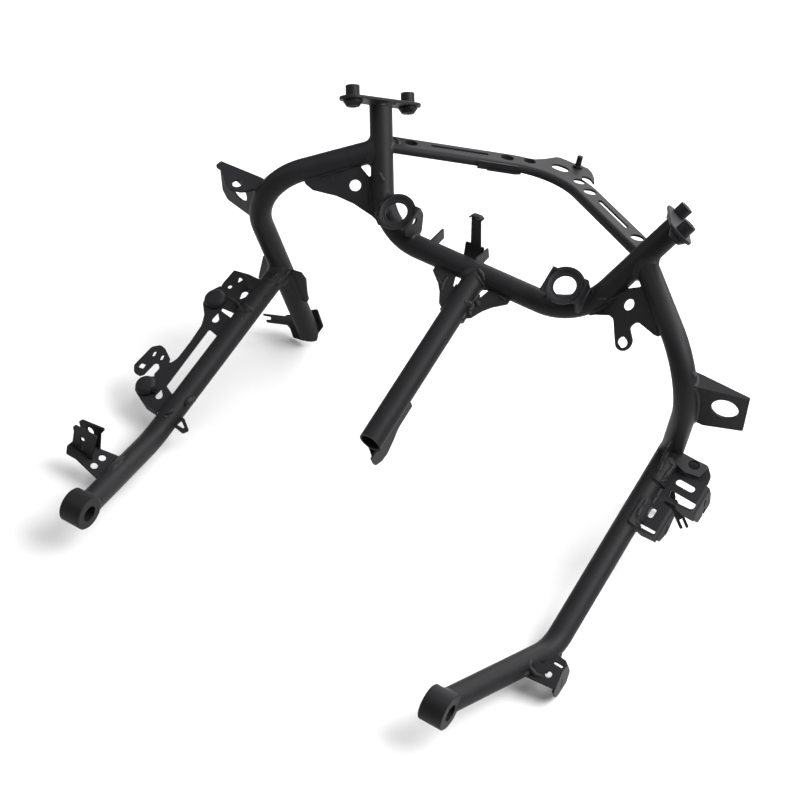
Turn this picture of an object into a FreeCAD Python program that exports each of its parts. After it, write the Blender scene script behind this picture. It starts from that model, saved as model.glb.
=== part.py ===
import FreeCAD
import Part
import math
import os

from FreeCAD import Vector

os.makedirs("parts", exist_ok=True)

# Motorcycle fairing stay: a welded steel tube frame with pressed brackets.
# Sizes are in millimetres. X is the width, with the mirror plane at X = 0, Y runs back, Z is up.
# The tube points are measured from the line through the two arm bushes. One move at the end
# puts the origin at the bottom centre of the box round the whole stay.

# tube sizes
TUBE_OD = 25.4
TUBE_WALL = 2.0
SHEET = 2.5
TUBE_R = TUBE_OD / 2

# centre line points of the right half
HOOP_CORNER = Vector(122.5, 395.0, 187.5)
POST_TOP = Vector(182.8, 463.0, 295.6)
ARCH_ROOT = Vector(163.5, 441.5, 255.0)
ARCH_CORNER = Vector(276.6, 347.6, 205.0)
LEG_END = Vector(237.5, 444.0, -36.0)
ARM_ROOT = Vector(254.5, 398.5, 75.5)
ARM_CORNER = Vector(257.0, 164.5, -35.0)
ARM_END = Vector(217.0, 0.0, -1.0)
STRUT_END = Vector(0.0, 201.0, 76.5)

LEG_CUT = -41.0

# bend radii of the centre lines
HOOP_BEND = 72.0
ARCH_BEND = 64.0
ARM_BEND = 55.0

# arm bushes
BUSH_MID_X = 219.5
BUSH_LENGTH = 25.5
BUSH_OD = 36.8
BUSH_BORE = 17.5

# post plates and what is bolted through them
POST_PLATE_LENGTH = 119.0
POST_PLATE_WIDTH = 39.0
POST_BOSS_SPACING = 79.7
POST_BOSS_OD = 15.5
POST_BOSS_HEIGHT = 12.5
POST_BORE = 8.4
POST_NUT_FLANGE_OD = 19.5
POST_NUT_OD = 15.0
POST_NUT_HEIGHT = 9.0

# rear cross plate
CROSS_APEX = Vector(0.0, 560.7, 243.7)
CROSS_TILT = 10.3
CROSS_HALF_TURN = 36.4
CROSS_BACK = 18.0
CROSS_FRONT = 10.0
CROSS_DEPTH = 8.5
CROSS_BEND = 70.0
CROSS_ROW = 7.5
CROSS_HOLE = 15.0
CROSS_HOLES_AT = (170.0, 60.0, 34.0)
CROSS_SLOT = (84.0, 145.0)
CROSS_SLOT_WIDTH = 5.5

# ring brackets
RING_CENTRE = Vector(104.5, 386.5, 224.9)
RING_BORE = 24.2
RING_PAD_OD = 43.0

# centre strut
STRUT_CUT = 8.0

# wing brackets
WING_HOLE = Vector(305.3, 377.2, 171.6)
WING_BORE = 28.0
WING_SHELF = 24.0


def unit(v):
    return Vector(v).normalize()


def frame(origin, x_axis, y_hint):
    """Placement with its x along x_axis and its y near y_hint."""
    x = unit(x_axis)
    z = unit(x.cross(y_hint))
    y = z.cross(x)
    m = FreeCAD.Matrix(
        x.x, y.x, z.x, origin.x,
        x.y, y.y, z.y, origin.y,
        x.z, y.z, z.z, origin.z,
        0, 0, 0, 1)
    return FreeCAD.Placement(m)


def along(a, b, t):
    return a + (b - a) * t


def mirrored(shape):
    return shape.mirror(Vector(0, 0, 0), Vector(1, 0, 0))


def placed(shape, pl):
    out = shape.copy()
    out.Placement = pl.multiply(out.Placement)
    return out


def joined(first, *others):
    out = first
    for s in others:
        out = out.fuse(s)
    return out.removeSplitter()


def trimmed(shape, *others):
    """The shape less its neighbours, keeping its largest piece."""
    out = shape
    for s in others:
        out = out.cut(s)
    solids = sorted(out.Solids, key=lambda k: k.Volume)
    return solids[-1]


# flat outlines

def corner_wire(points):
    """Closed wire through (x, y, radius) corners, each rounded by its own radius."""
    edges = []
    n = len(points)
    ends = []
    for i, p in enumerate(points):
        here = Vector(p[0], p[1], 0)
        r = p[2] if len(p) > 2 else 0.0
        before = Vector(points[i - 1][0], points[i - 1][1], 0)
        after = Vector(points[(i + 1) % n][0], points[(i + 1) % n][1], 0)
        if r <= 0:
            ends.append((here, here, None))
            continue
        d1 = unit(before - here)
        d2 = unit(after - here)
        half = d1.getAngle(d2) / 2
        reach = r / math.tan(half)
        middle = unit(d1 + d2) * (r / math.sin(half) - r)
        ends.append((here + d1 * reach, here + d2 * reach, here + middle))
    for i in range(n):
        a, b, mid = ends[i]
        if mid is not None:
            edges.append(Part.Arc(a, mid, b).toShape())
        nxt = ends[(i + 1) % n][0]
        if (nxt - b).Length > 1e-4:
            edges.append(Part.LineSegment(b, nxt).toShape())
    return Part.Wire(edges)


def slab(points, t, z0=0.0):
    """Flat sheet between z0 and z0 + t with the given outline."""
    face = Part.Face(corner_wire(points))
    face.translate(Vector(0, 0, z0))
    return face.extrude(Vector(0, 0, t))


def disc(x, y, d, t, z0=0.0):
    return Part.makeCylinder(d / 2, t, Vector(x, y, z0))


def slot(x1, y1, x2, y2, w, t, z0=0.0):
    """Oblong between two centres."""
    a = Vector(x1, y1, 0)
    b = Vector(x2, y2, 0)
    d = unit(b - a)
    s = Vector(-d.y, d.x, 0) * (w / 2)
    e = [
        Part.LineSegment(a + s, b + s).toShape(),
        Part.Arc(b + s, b + d * (w / 2), b - s).toShape(),
        Part.LineSegment(b - s, a - s).toShape(),
        Part.Arc(a - s, a - d * (w / 2), a + s).toShape(),
    ]
    face = Part.Face(Part.Wire(e))
    face.translate(Vector(0, 0, z0))
    return face.extrude(Vector(0, 0, t))


def folded(points, t, length, inner=2.0):
    """Bent sheet: section along (x, z) points, sheet to the left of the path, length along y."""
    n = len(points)
    offset = []
    for i in range(n):
        p = Vector(points[i][0], points[i][1], 0)
        dirs = []
        if i > 0:
            dirs.append(unit(p - Vector(points[i - 1][0], points[i - 1][1], 0)))
        if i < n - 1:
            dirs.append(unit(Vector(points[i + 1][0], points[i + 1][1], 0) - p))
        normals = [Vector(-d.y, d.x, 0) for d in dirs]
        if len(normals) == 1:
            offset.append((p + normals[0] * t, 0.0))
            continue
        m = unit(normals[0] + normals[1])
        turn = dirs[0].cross(dirs[1]).z
        offset.append((p + m * (t / m.dot(normals[0])), turn))
    near = []
    for i in range(n):
        turn = offset[i][1]
        r = 0.0 if turn == 0 else (inner + t if turn > 0 else inner)
        near.append((points[i][0], points[i][1], r))
    far = []
    for i in reversed(range(n)):
        turn = offset[i][1]
        r = 0.0 if turn == 0 else (inner if turn > 0 else inner + t)
        far.append((offset[i][0].x, offset[i][0].y, r))
    face = Part.Face(corner_wire(near + far))
    body = face.extrude(Vector(0, 0, length))
    # section plane x, z and length along +y
    body.Placement = FreeCAD.Placement(Vector(0, length, 0), FreeCAD.Rotation(Vector(1, 0, 0), 90))
    return body


def sideways():
    """Placement that turns an (x, y) drawing into a (y, z) one."""
    return FreeCAD.Placement(FreeCAD.Matrix(0, 0, 1, 0, 1, 0, 0, 0, 0, 1, 0, 0, 0, 0, 0, 1))


def side_prism(points, x0, x1):
    """Prism between two x values with a (y, z) outline."""
    return placed(slab(points, x1 - x0, x0), sideways())


def end_prism(points, y0, y1):
    """Prism between two y values with an (x, z) outline."""
    body = slab(points, y1 - y0)
    return placed(body, FreeCAD.Placement(Vector(0, y1, 0), FreeCAD.Rotation(Vector(1, 0, 0), 90)))


def sheet(points, *cuts):
    """Flat plate half above and half below z = 0."""
    body = slab(points, SHEET, -SHEET / 2)
    for c in cuts:
        body = body.cut(c)
    return body


def drop(x, y, d, tip_x, tip_y):
    """Teardrop hole: a circle drawn out to a point."""
    c = Vector(x, y, 0)
    tip = Vector(tip_x, tip_y, 0)
    away = unit(tip - c)
    lean = math.degrees(math.acos(d / 2 / (tip - c).Length))
    a = c + FreeCAD.Rotation(Vector(0, 0, 1), lean).multVec(away) * (d / 2)
    b = c + FreeCAD.Rotation(Vector(0, 0, 1), -lean).multVec(away) * (d / 2)
    edges = [
        Part.LineSegment(tip, a).toShape(),
        Part.Arc(a, c - away * (d / 2), b).toShape(),
        Part.LineSegment(b, tip).toShape(),
    ]
    face = Part.Face(Part.Wire(edges))
    face.translate(Vector(0, 0, -20))
    return face.extrude(Vector(0, 0, 40))


def oblong(x1, y1, x2, y2, w):
    return slot(x1, y1, x2, y2, w, 40, -20)


# tubes

def route(points, radii):
    """Straight runs joined by tangent arcs."""
    edges = []
    start = points[0]
    for i in range(1, len(points) - 1):
        here = points[i]
        d1 = unit(points[i - 1] - here)
        d2 = unit(points[i + 1] - here)
        half = d1.getAngle(d2) / 2
        r = radii[i - 1]
        a = here + d1 * (r / math.tan(half))
        b = here + d2 * (r / math.tan(half))
        mid = here + unit(d1 + d2) * (r / math.sin(half) - r)
        edges.append(Part.LineSegment(start, a).toShape())
        edges.append(Part.Arc(a, mid, b).toShape())
        start = b
    edges.append(Part.LineSegment(start, points[-1]).toShape())
    return Part.Wire(edges)


def bar(path, d):
    first = path.OrderedEdges[0]
    p = first.valueAt(first.FirstParameter)
    t = first.tangentAt(first.FirstParameter)
    ring = Part.Wire([Part.Circle(p, t, d / 2).toShape()])
    return path.makePipeShell([ring], True, False)


def beyond(a, b, extra):
    """The point b moved on by extra along a to b."""
    return b + unit(b - a) * extra


def hoop_path():
    left = [Vector(-p.x, p.y, p.z) for p in (HOOP_CORNER, POST_TOP)]
    return route([POST_TOP, HOOP_CORNER, left[0], left[1]], [HOOP_BEND, HOOP_BEND])


def arch_path(extra=0.0):
    end = beyond(ARCH_CORNER, LEG_END, extra)
    return route([ARCH_ROOT, ARCH_CORNER, end], [ARCH_BEND])


def arm_path(extra=0.0):
    end = beyond(ARM_CORNER, ARM_END, extra)
    return route([ARM_ROOT, ARM_CORNER, end], [ARM_BEND])


BORE = TUBE_OD - 2 * TUBE_WALL
HOOP_SOLID = bar(hoop_path(), TUBE_OD)
ARCH_SOLID = bar(arch_path(), TUBE_OD)
ARM_SOLID = bar(arm_path(), TUBE_OD)
BUSH_SOLID = Part.makeCylinder(
    BUSH_OD / 2, BUSH_LENGTH, Vector(BUSH_MID_X - BUSH_LENGTH / 2, 0, 0), Vector(1, 0, 0))
STRUT_DIR = unit(STRUT_END - Vector(0, HOOP_CORNER.y, HOOP_CORNER.z))
STRUT_ROOT = Vector(0, HOOP_CORNER.y, HOOP_CORNER.z)
STRUT_LENGTH = (STRUT_END - STRUT_ROOT).Length

# local frames of the right half
POST_DIR = unit(POST_TOP - HOOP_CORNER)
ARCH_DIR = unit(ARCH_CORNER - ARCH_ROOT)
LEG_DIR = unit(LEG_END - ARCH_CORNER)
ARM_BACK = unit(ARM_ROOT - ARM_CORNER)
ARM_LOW = unit(ARM_END - ARM_CORNER)
GUSSET = frame(Vector(163.5, 439.0, 255.0), ARCH_DIR, -POST_DIR)
RING = frame(RING_CENTRE, Vector(1, 0, 0), Vector(0, 0.84, 0.543))
ARM = frame(Vector(256.5, 171.0, -32.0), Vector(1, 0, 0), ARM_BACK)
STRUT = frame(STRUT_ROOT, Vector(1, 0, 0), STRUT_DIR)
POST = frame(POST_TOP, Vector(-0.385, 0.862, -0.329), Vector(-0.818, -0.153, 0.554))
WING = frame(WING_HOLE, Vector(0.973, 0.222, 0.06), Vector(0.0, -0.25, 0.97))
FOOT = frame(LEG_END, Vector(1, 0, 0), Vector(0.0, 0.35, 0.94))
REAR = frame(Vector(249.5, 411.6, 43.0), Vector(0.987, 0, -0.16), LEG_DIR * -1)
WEB = frame(ARM_ROOT, Vector(1, 0, 0), LEG_DIR * -1)
BOX = frame(Vector(245.0, 117.0, -25.7), Vector(0.983, 0.1815, -0.037), Vector(-0.185, 0.963, -0.197))
LOW = frame(Vector(245.0, 117.0, -25.7), Vector(1, 0, 0), Vector(0, 0.97, -0.2))
RIGHT_FORK = frame(Vector(264.0, 439.5, -32.5), Vector(0.68, -0.73, 0.0), Vector(0.0, 0.35, 0.94))
LEFT_FORK = frame(Vector(265.0, 442.0, -30.5), Vector(0.74, -0.62, 0.14), Vector(0.0, 0.35, 0.94))
HALF = SHEET / 2


def hollow_bits():
    hoop = HOOP_SOLID.cut(bar(hoop_path(), BORE))
    above = placed(Part.makeBox(200, 80, 40, Vector(-100, -40, 0)), POST)
    hoop = trimmed(hoop, above, mirrored(above))
    arch = bar(arch_path(20.0), TUBE_OD).cut(bar(arch_path(20.0), BORE))
    below = Part.makeBox(120, 120, 60, Vector(LEG_END.x - 60, LEG_END.y - 60, LEG_CUT - 60))
    arch = trimmed(arch, HOOP_SOLID, placed(Part.makeBox(120, 120, 60, Vector(-60, -60, -60)), FOOT), below)
    arm = ARM_SOLID.cut(bar(arm_path(), BORE))
    arm = trimmed(arm, ARCH_SOLID, BUSH_SOLID)
    bush = BUSH_SOLID.cut(Part.makeCylinder(
        BUSH_BORE / 2, BUSH_LENGTH + 2, Vector(BUSH_MID_X - BUSH_LENGTH / 2 - 1, 0, 0), Vector(1, 0, 0)))
    ch = 0.8
    rim = [e for e in bush.Edges if e.Curve.TypeId == "Part::GeomCircle" and e.Curve.Radius > BUSH_OD / 2 - 0.1]
    bush = bush.makeChamfer(ch, rim)
    return hoop, arch, arm, bush


def strut_tube():
    body = Part.makeCylinder(TUBE_R, STRUT_LENGTH + 12, STRUT_ROOT, STRUT_DIR)
    hole = Part.makeCylinder(BORE / 2, STRUT_LENGTH + 12, STRUT_ROOT, STRUT_DIR)
    # slanted end: the upper side is longer
    cutter = Part.makeBox(80, 60, 80)
    cutter.translate(Vector(-40, 0, -40))
    cutter.rotate(Vector(0, 0, 0), Vector(1, 0, 0), -STRUT_CUT)
    cutter = placed(cutter, frame(STRUT_ROOT + STRUT_DIR * STRUT_LENGTH, Vector(1, 0, 0), STRUT_DIR))
    return trimmed(body.cut(hole), HOOP_SOLID, cutter)


STRUT_SOLID = Part.makeCylinder(TUBE_R, STRUT_LENGTH + 3, STRUT_ROOT, STRUT_DIR)


def ring_pad(point, tube_dir, toward, length, width, t=SHEET):
    """Saddle on a tube: an oblong patch of a larger tube, seen along toward."""
    fr = frame(point, tube_dir, unit(tube_dir).cross(toward))
    z = fr.Rotation.multVec(Vector(0, 0, 1))
    side = 1 if z.dot(toward) > 0 else -1
    run = max(length - width, 1.0)
    if side > 0:
        prism = slot(-run / 2, 0, run / 2, 0, width, 60)
    else:
        prism = slot(-run / 2, 0, run / 2, 0, width, 60, -60)
    prism = placed(prism, fr)
    start = point - unit(tube_dir) * (length + 20)
    shell = Part.makeCylinder(TUBE_R + t, 2 * length + 40, start, unit(tube_dir))
    core = Part.makeCylinder(TUBE_R, 2 * length + 40, start, unit(tube_dir))
    return shell.cut(core).common(prism)


# post tops

def post_plate():
    half = POST_PLATE_LENGTH / 2
    w = POST_PLATE_WIDTH / 2
    body = slab([(-half, -w, 17), (half, -w, 17), (half, w, 17), (-half, w, 17)], SHEET + 1.0)
    for s in (-1, 1):
        body = body.cut(disc(s * POST_BOSS_SPACING / 2, 0, POST_BORE, 20, -5))
    body = body.cut(slot(13, 3, 13, POST_PLATE_WIDTH, 4.0, 20, -5))
    return placed(body, POST)


def post_boss(s):
    x = s * POST_BOSS_SPACING / 2
    z = SHEET + 1.0
    body = disc(x, 0, POST_BOSS_OD, POST_BOSS_HEIGHT, z)
    body = body.makeChamfer(0.6, [e for e in body.Edges if abs(e.BoundBox.ZMin - z - POST_BOSS_HEIGHT) < 0.01])
    body = body.cut(disc(x, 0, POST_BORE, 40, -5))
    return placed(body, POST)


def post_nut(s):
    x = s * POST_BOSS_SPACING / 2
    flange = disc(x, 0, POST_NUT_FLANGE_OD, 2.0, -2.0)
    skirt = Part.makeCone(POST_NUT_OD / 2, POST_NUT_FLANGE_OD / 2 - 0.4, 2.0, Vector(x, 0, -4.0))
    hexagon = []
    for k in range(6):
        a = math.radians(60 * k + 15)
        r = POST_NUT_OD / 2 / math.cos(math.radians(30)) * 0.92
        hexagon.append((x + r * math.cos(a), r * math.sin(a), 0.8))
    body = joined(flange, skirt, slab(hexagon, POST_NUT_HEIGHT - 3, -POST_NUT_HEIGHT))
    body = body.cut(disc(x, 0, POST_BORE, 40, -20))
    return placed(body, POST)


# plates between the tubes

def gusset(tab):
    """Web under the arch root; the right one carries a hanging tab."""
    points = [(2, 4), (88, 6, 2), (89.5, 15, 4), (83, 24, 4), (59, 37), (43, 50), (27, 68), (22, 76), (6, 76)]
    if tab:
        points = [(2, 4), (86, 6, 2), (85.5, 15, 2), (82, 18, 1), (57.8, 29.5, 6), (59, 39.3, 4),
                  (80.5, 42.5, 9.5), (79.5, 64, 9.5), (41, 52.5, 6), (34, 56, 4), (24, 71, 2), (22, 76), (6, 76)]
    body = slab(points, SHEET, -SHEET / 2)
    body = body.cut(disc(36, 31, 12.8, 20, -10))
    window = slab([(25.5, 11.5, 1.5), (17.5, 10.5, 1.5), (13.5, 19, 1.5), (18, 27.5, 1.5)], 20, -10)
    body = body.cut(window)
    if tab:
        body = body.cut(slot(68.5, 52.8, 72.5, 51.8, 9.5, 20, -10))
    return trimmed(placed(body, GUSSET), HOOP_SOLID, ARCH_SOLID)


def ring_bracket():
    """Dished plate with a large bore and two folded sides that straddle the bent hoop."""
    left, right, deep = -21.5, 20.5, 42.0
    path = [(right, -deep), (right, SHEET), (left, SHEET), (left, -deep)]
    shell = folded(path, SHEET, 70, 3.0)
    shell.translate(Vector(0, -35, 0))
    face = slab([(left, 15, 1), (-15, 16, 2), (-13, 20, 6), (0, 22.5, 8), (11, 19.5, 6), (14, 16, 2),
                 (right, 16, 1), (right, -16, 1), (13, -16.5, 2), (6, -20.5, 6), (-6, -20.5, 6),
                 (-14, -16.5, 3), (left, -15, 1)], 8, -2.4)
    inner_ear = side_prism([(-6, -deep, 5), (6, -deep, 6), (18.5, -14, 6), (14.5, -1, 3), (14.5, 6),
                            (-15, 6), (-15, -2), (-16, -12)], left - 1, left + 7)
    outer_ear = side_prism([(-16, -24), (10, -24, 6), (15, -8, 4), (15, 6), (-16, 6)], right - 5, right + 3)
    body = shell.common(joined(face, inner_ear, outer_ear))
    body = body.cut(disc(0, 0, RING_BORE, 60, -10))
    ear_slot = slot(0, -10.5, 4, -6, 4.2, 20, left - 10)
    body = body.cut(placed(ear_slot, sideways()))
    return trimmed(placed(body, RING), HOOP_SOLID)


def cross_frame():
    back = Vector(0, math.cos(math.radians(CROSS_TILT)), -math.sin(math.radians(CROSS_TILT)))
    return frame(CROSS_APEX, Vector(1, 0, 0), back)


def cross_line(u, v):
    """Point of the cross plate u along the right half and v behind its row line."""
    a = math.radians(CROSS_HALF_TURN)
    return Vector(u * math.cos(a) + v * math.sin(a), -u * math.sin(a) + v * math.cos(a), 0)


def cross_plate():
    t = SHEET
    a = math.radians(CROSS_HALF_TURN)
    reach = 205.0
    # the path runs along the front edge of the flat top
    front = -CROSS_FRONT + t
    apex = Vector(0, front / math.cos(a), 0)
    right = cross_line(reach, front)
    path = route([right, apex, Vector(-right.x, right.y, 0)], [CROSS_BEND])
    d = unit(apex - right)
    side = Vector(d.y, -d.x, 0)
    width = CROSS_BACK - front
    bend = 6.0
    outline = [(width, 0), (width, -t), (0, -t, bend - t), (0, -CROSS_DEPTH), (-t, -CROSS_DEPTH), (-t, 0, bend)]
    wire = corner_wire(outline)
    section = frame(right, side if side.y > 0 else -side, Vector(0, 0, 1))
    wire.Placement = section
    body = path.makePipeShell([wire], True, False)
    pad = slab([(0, -14), (-31, -5), (-24, 8, 10), (-17, 29, 6), (17, 29, 6), (24, 8, 10), (31, -5)], t, -t)
    body = joined(body, pad)
    for u in CROSS_HOLES_AT:
        for s in (-1, 1):
            c = cross_line(u, CROSS_ROW)
            body = body.cut(disc(s * c.x, c.y, CROSS_HOLE if u > 50 else CROSS_HOLE - 1, 20, -8))
    for s in (-1, 1):
        p, q = (cross_line(u, CROSS_ROW + 0.5) for u in CROSS_SLOT)
        body = body.cut(slot(s * p.x, p.y, s * q.x, q.y, CROSS_SLOT_WIDTH, 20, -8))
    body = body.cut(slot(-2.5, 1, 2.5, 1, 16, 20, -8))
    body = placed(body, cross_frame())
    return trimmed(body, HOOP_SOLID, mirrored(HOOP_SOLID))


def cross_stud():
    body = joined(disc(0, 0, 11.0, 2.5), disc(0, 0, 6.6, 14.0))
    body = body.makeChamfer(0.7, [e for e in body.Edges if e.BoundBox.ZMin > 13.9])
    return placed(placed(body, FreeCAD.Placement(Vector(12, 21, 0), FreeCAD.Rotation())), cross_frame())


def cross_hook():
    """Fin that curves down from the back right corner of the pad."""
    body = folded([(0, 0), (9, 0), (15, -9), (17, -20)], 2.0, 9, 3.0)
    body.translate(Vector(17, 15, -2))
    return trimmed(placed(body, cross_frame()), cross_plate())


def cross_tab():
    """Patch on the front face of the left half with a lip at its inner end."""
    corners = ((95, -12.5), (50, -12.5), (50, -10.0), (95, -10.0))
    body = slab([tuple(cross_line(u, v))[:2] for u, v in corners], 9.0, -CROSS_DEPTH - 1.5)
    lip = ((84, -15.0), (52, -15.0), (45, -12.0), (45, -10.0), (84, -10.0))
    body = joined(body, slab([tuple(cross_line(u, v))[:2] for u, v in lip], 1.5, -CROSS_DEPTH - 1.5))
    return trimmed(mirrored(placed(body, cross_frame())), cross_plate())


# centre strut pieces

def strut_saddle():
    half = [(-47, 5), (-47, 18.5, 2), (-34, 29, 8), (-26.5, 38, 8), (-20, 50, 3), (-12, 55, 2)]
    points = half + [(-x, y, *r) for x, y, *r in reversed(half)]
    body = slab(points, SHEET, -SHEET / 2)
    for s in (-1, 1):
        gap = slab([(s * 11, 13, 1), (s * 21, 13, 1), (s * 17.5, 24, 1.5), (s * 11, 29, 1)][:: s], 20, -10)
        body = body.cut(gap)
    collar = Part.makeCylinder(TUBE_R + SHEET, 34, Vector(0, 22, 0), Vector(0, 1, 0))
    under = Part.makeBox(60, 60, 30, Vector(-30, 10, -1.25))
    body = joined(body, collar.common(under))
    return trimmed(placed(body, STRUT), HOOP_SOLID, STRUT_SOLID)


def strut_hook():
    """Open channel with a beak, welded under the lower end of the strut."""
    outer = side_prism([(160, 4), (160, 21, 2), (189, 21.5, 12), (201, 28, 10), (216, 33.7, 8), (227, 32, 6),
                        (236, 24.6, 5), (239, 12, 2), (239, 4)], -10, 10)
    long_edges = [e for e in outer.Edges if abs(abs(e.CenterOfMass.x) - 10) < 0.01 and e.CenterOfMass.z > 15]
    outer = outer.makeFillet(1.5, long_edges)
    inner = side_prism([(155, 0), (155, 18.8), (189, 19.2, 12), (201, 25.6, 10), (216, 31.2, 8), (227, 29.5, 6),
                        (234, 23, 4), (236.5, 12, 2), (245, 10), (245, 0)], -8, 8)
    mouth = side_prism([(228, 0), (228, 20, 6), (250, 20), (250, 0)], -8, 8)
    slant = slab([(12, 241), (-12, 219), (-12, 260), (12, 260)], 60, 0)
    return trimmed(placed(outer.cut(inner).cut(mouth).cut(slant), STRUT), STRUT_SOLID)


def harness_bracket():
    """Tongue and two side tabs on a strip behind the cross tube."""
    t = 2.0
    body = Part.makeBox(58.5, t, 17, Vector(-66, TUBE_R, -8))
    for x in (-66, -9.5):
        body = joined(body, Part.makeBox(t, 14, 13, Vector(x, TUBE_R, -4)))
    body = joined(body, Part.makeBox(22, t, 14, Vector(-29, TUBE_R, 2)))
    body = joined(body, Part.makeBox(10, t, 44, Vector(-24, TUBE_R, 10)))
    head = Part.makeBox(15, 6, t, Vector(-26.5, TUBE_R - 3, 52))
    body = joined(body, head)
    body.translate(STRUT_ROOT)
    return trimmed(body, HOOP_SOLID)


# wing brackets, in the frame round their big hole: x out, y up, z to the front

def wing_bracket(side_points, shelf_points):
    """Plate with a big hole and a shelf folded back from its top edge."""
    plate = sheet(side_points, disc(0, 0, WING_BORE, 20, -10))
    shelf = end_prism(shelf_points, WING_SHELF - SHEET, WING_SHELF)
    return trimmed(placed(joined(plate, shelf), WING), ARCH_SOLID)


def right_wing():
    plate = [(-41, 26), (-30, 24), (23.1, 24, 1), (21.4, -27.3, 3), (-20, -33.5, 4), (-27, -31), (-31, -41), (-41, -41)]
    shelf = [(-41, -19, 2), (-31, -17, 3), (23.1, -1.5, 0.5), (23.1, HALF), (-41, HALF)]
    return wing_bracket(plate, shelf)


def left_wing():
    plate = [(-41, 26), (-30, 24), (30.5, 24, 1), (30.5, 12.9), (32.1, -19.8, 5), (25, -31.1, 5), (-15.3, -29.5, 3),
             (-41, -33)]
    shelf = [(-41, -19, 2), (-22.4, -16.5, 2), (30.5, -2, 1), (30.5, HALF), (-41, HALF)]
    return mirrored(wing_bracket(plate, shelf))


def left_wing_lug():
    """Level eye in front of the left wing shelf."""
    points = [(30.7, HALF), (29.6, 7.5, 3), (19.7, 7.2, 4), (3.7, 16.3, 6), (-3.3, 20.7, 4), (-11.6, 20.4, 5),
              (-22.1, 14.6, 6), (-27.9, 7.8, 4), (-29.9, HALF)]
    body = end_prism(points, WING_SHELF - SHEET, WING_SHELF)
    eye = Part.makeCylinder(6.0, 20, Vector(-9.9, 15, 8.6), Vector(0, 1, 0))
    return mirrored(trimmed(placed(body.cut(eye), WING), ARCH_SOLID))


# brackets on the right arm, in the arm frame: x out, y up the arm, z to the front

def shoulder(y0, y1, x0, x1=16.0, extra=0.0):
    """Strap that wraps the outer shoulder of the arm tube."""
    shell = Part.makeCylinder(TUBE_R + SHEET + extra, y1 - y0, Vector(0, y0, 0), Vector(0, 1, 0))
    band = slab([(x0, y0, 3), (x1, y0, 3), (x1, y1, 3), (x0, y1, 3)], 30, -HALF)
    return shell.common(band)


def right_tab_plate():
    body = slab([(6, 258), (13.4, 252.5, 2), (42.1, 247.8, 2), (39.6, 233, 5), (30, 230.5, 5), (19.7, 231, 6),
                 (12, 239, 3), (6, 241)], SHEET, HALF)
    body = body.cut(disc(27.8, 242.5, 11.5, 20))
    return trimmed(placed(body, ARM), ARM_SOLID, ARCH_SOLID, right_slotted_bracket())


def right_tab_boss():
    body = disc(41.0, 238.5, 17.5, 10.0 + HALF, -10.0).cut(disc(41.0, 238.5, 8.4, 40, -20))
    return trimmed(placed(body, ARM), right_slotted_bracket())


def right_slotted_bracket():
    """Tray with a slot, a window and two folded sides."""
    shell = folded([(4, -HALF), (53, -HALF), (56.5, -26)], SHEET, 60, 3.0)
    shell.translate(Vector(0, 185, 0))
    outline = slab([(4, 195.5), (4, 222), (12, 224, 3), (19.7, 233.3, 3), (80, 227.5), (80, 185), (56, 185),
                    (56, 195.5)], 80, -60)
    side = side_prism([(231, 5), (231, -8, 3), (224.5, -24, 5), (197, -21, 5), (194, -14), (194, 5)], 0, 90)
    body = shell.common(outline).common(side)
    foot = end_prism([(33, 0), (33, -9, 3), (42, -18, 4), (54, -20), (55, -10), (53, 0)], 195.5, 198)
    body = joined(body, foot, shoulder(206, 236, 0.5))
    body = body.cut(oblong(25, 220.5, 39, 219.5, 8))
    body = body.cut(slab([(21.4, 209, 1.5), (51.8, 206.4, 2), (52, 198.1, 4), (34.3, 198.1, 2), (23.2, 200.5, 2)], 20, -3))
    for a, b in (((218, -8.5), (214.5, -12)), ((213, -18), (209.5, -21))):
        cut = slot(a[0], a[1], b[0], b[1], 3.0, 40, 40)
        body = body.cut(placed(cut, sideways()))
    return trimmed(placed(body, ARM), ARM_SOLID)


def right_lower_bracket():
    """Tray with three slots below the slotted bracket."""
    shell = folded([(4, -HALF), (32, -HALF), (36, -17)], SHEET, 60, 3.0)
    shell.translate(Vector(0, 140, 0))
    outline = slab([(4, 151.5), (60, 151.5), (60, 190), (35.6, 188.5), (12.1, 193.4), (4, 193.4)], 80, -60)
    side = side_prism([(194, 5), (194, -2.5), (188.5, -3), (188, -9, 3), (168, -13.5, 8), (154, -9, 4), (151.5, -3),
                       (151.5, 5)], 0, 70)
    body = shell.common(outline).common(side)
    foot = end_prism([(11, 0), (11, -5, 2), (16, -10, 2), (33, -10), (33, 0)], 151.5, 154)
    body = joined(body, foot, shoulder(150, 184, 2.5))
    body = body.cut(oblong(16.6, 172.5, 16.6, 179, 6))
    body = body.cut(oblong(24, 187, 27, 186.4, 1.8)).cut(oblong(13, 157.6, 28, 156.9, 4.4))
    cut = slot(172, -7.5, 166, -10.5, 2.5, 40, 20)
    body = body.cut(placed(cut, sideways()))
    return trimmed(placed(body, ARM), ARM_SOLID)


def right_box_bracket():
    """Foot under the bend of the right arm: a plate with a side that drops to the floor."""
    shell = folded([(3, -HALF), (40.5, -HALF), (43.5, -22.0)], SHEET, 80, 3.0)
    shell.translate(Vector(0, -25, 0))
    outline = slab([(3, -12), (17.3, -13.5), (60, -16), (60, 60), (34, 40, 4), (12, 42), (3, 42)], 80, -60)
    side = side_prism([(-16.5, 5), (-16.5, -3), (1, -20.5, 3), (8, -21.5, 3), (28, -20, 5), (38, -12, 5), (40, -3),
                       (44, 5)], 0, 60)
    body = shell.common(outline).common(side)
    body = body.cut(disc(30.1, 4.0, 7.0, 40, -20)).cut(oblong(22, 29.5, 35, 28.5, 3.2))
    cut = slot(10, -12.5, 17, -9.5, 2.6, 40, 30)
    body = body.cut(placed(cut, sideways()))
    return trimmed(placed(body, BOX), ARM_SOLID)


# brackets on the left arm, drawn on the right and mirrored

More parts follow.
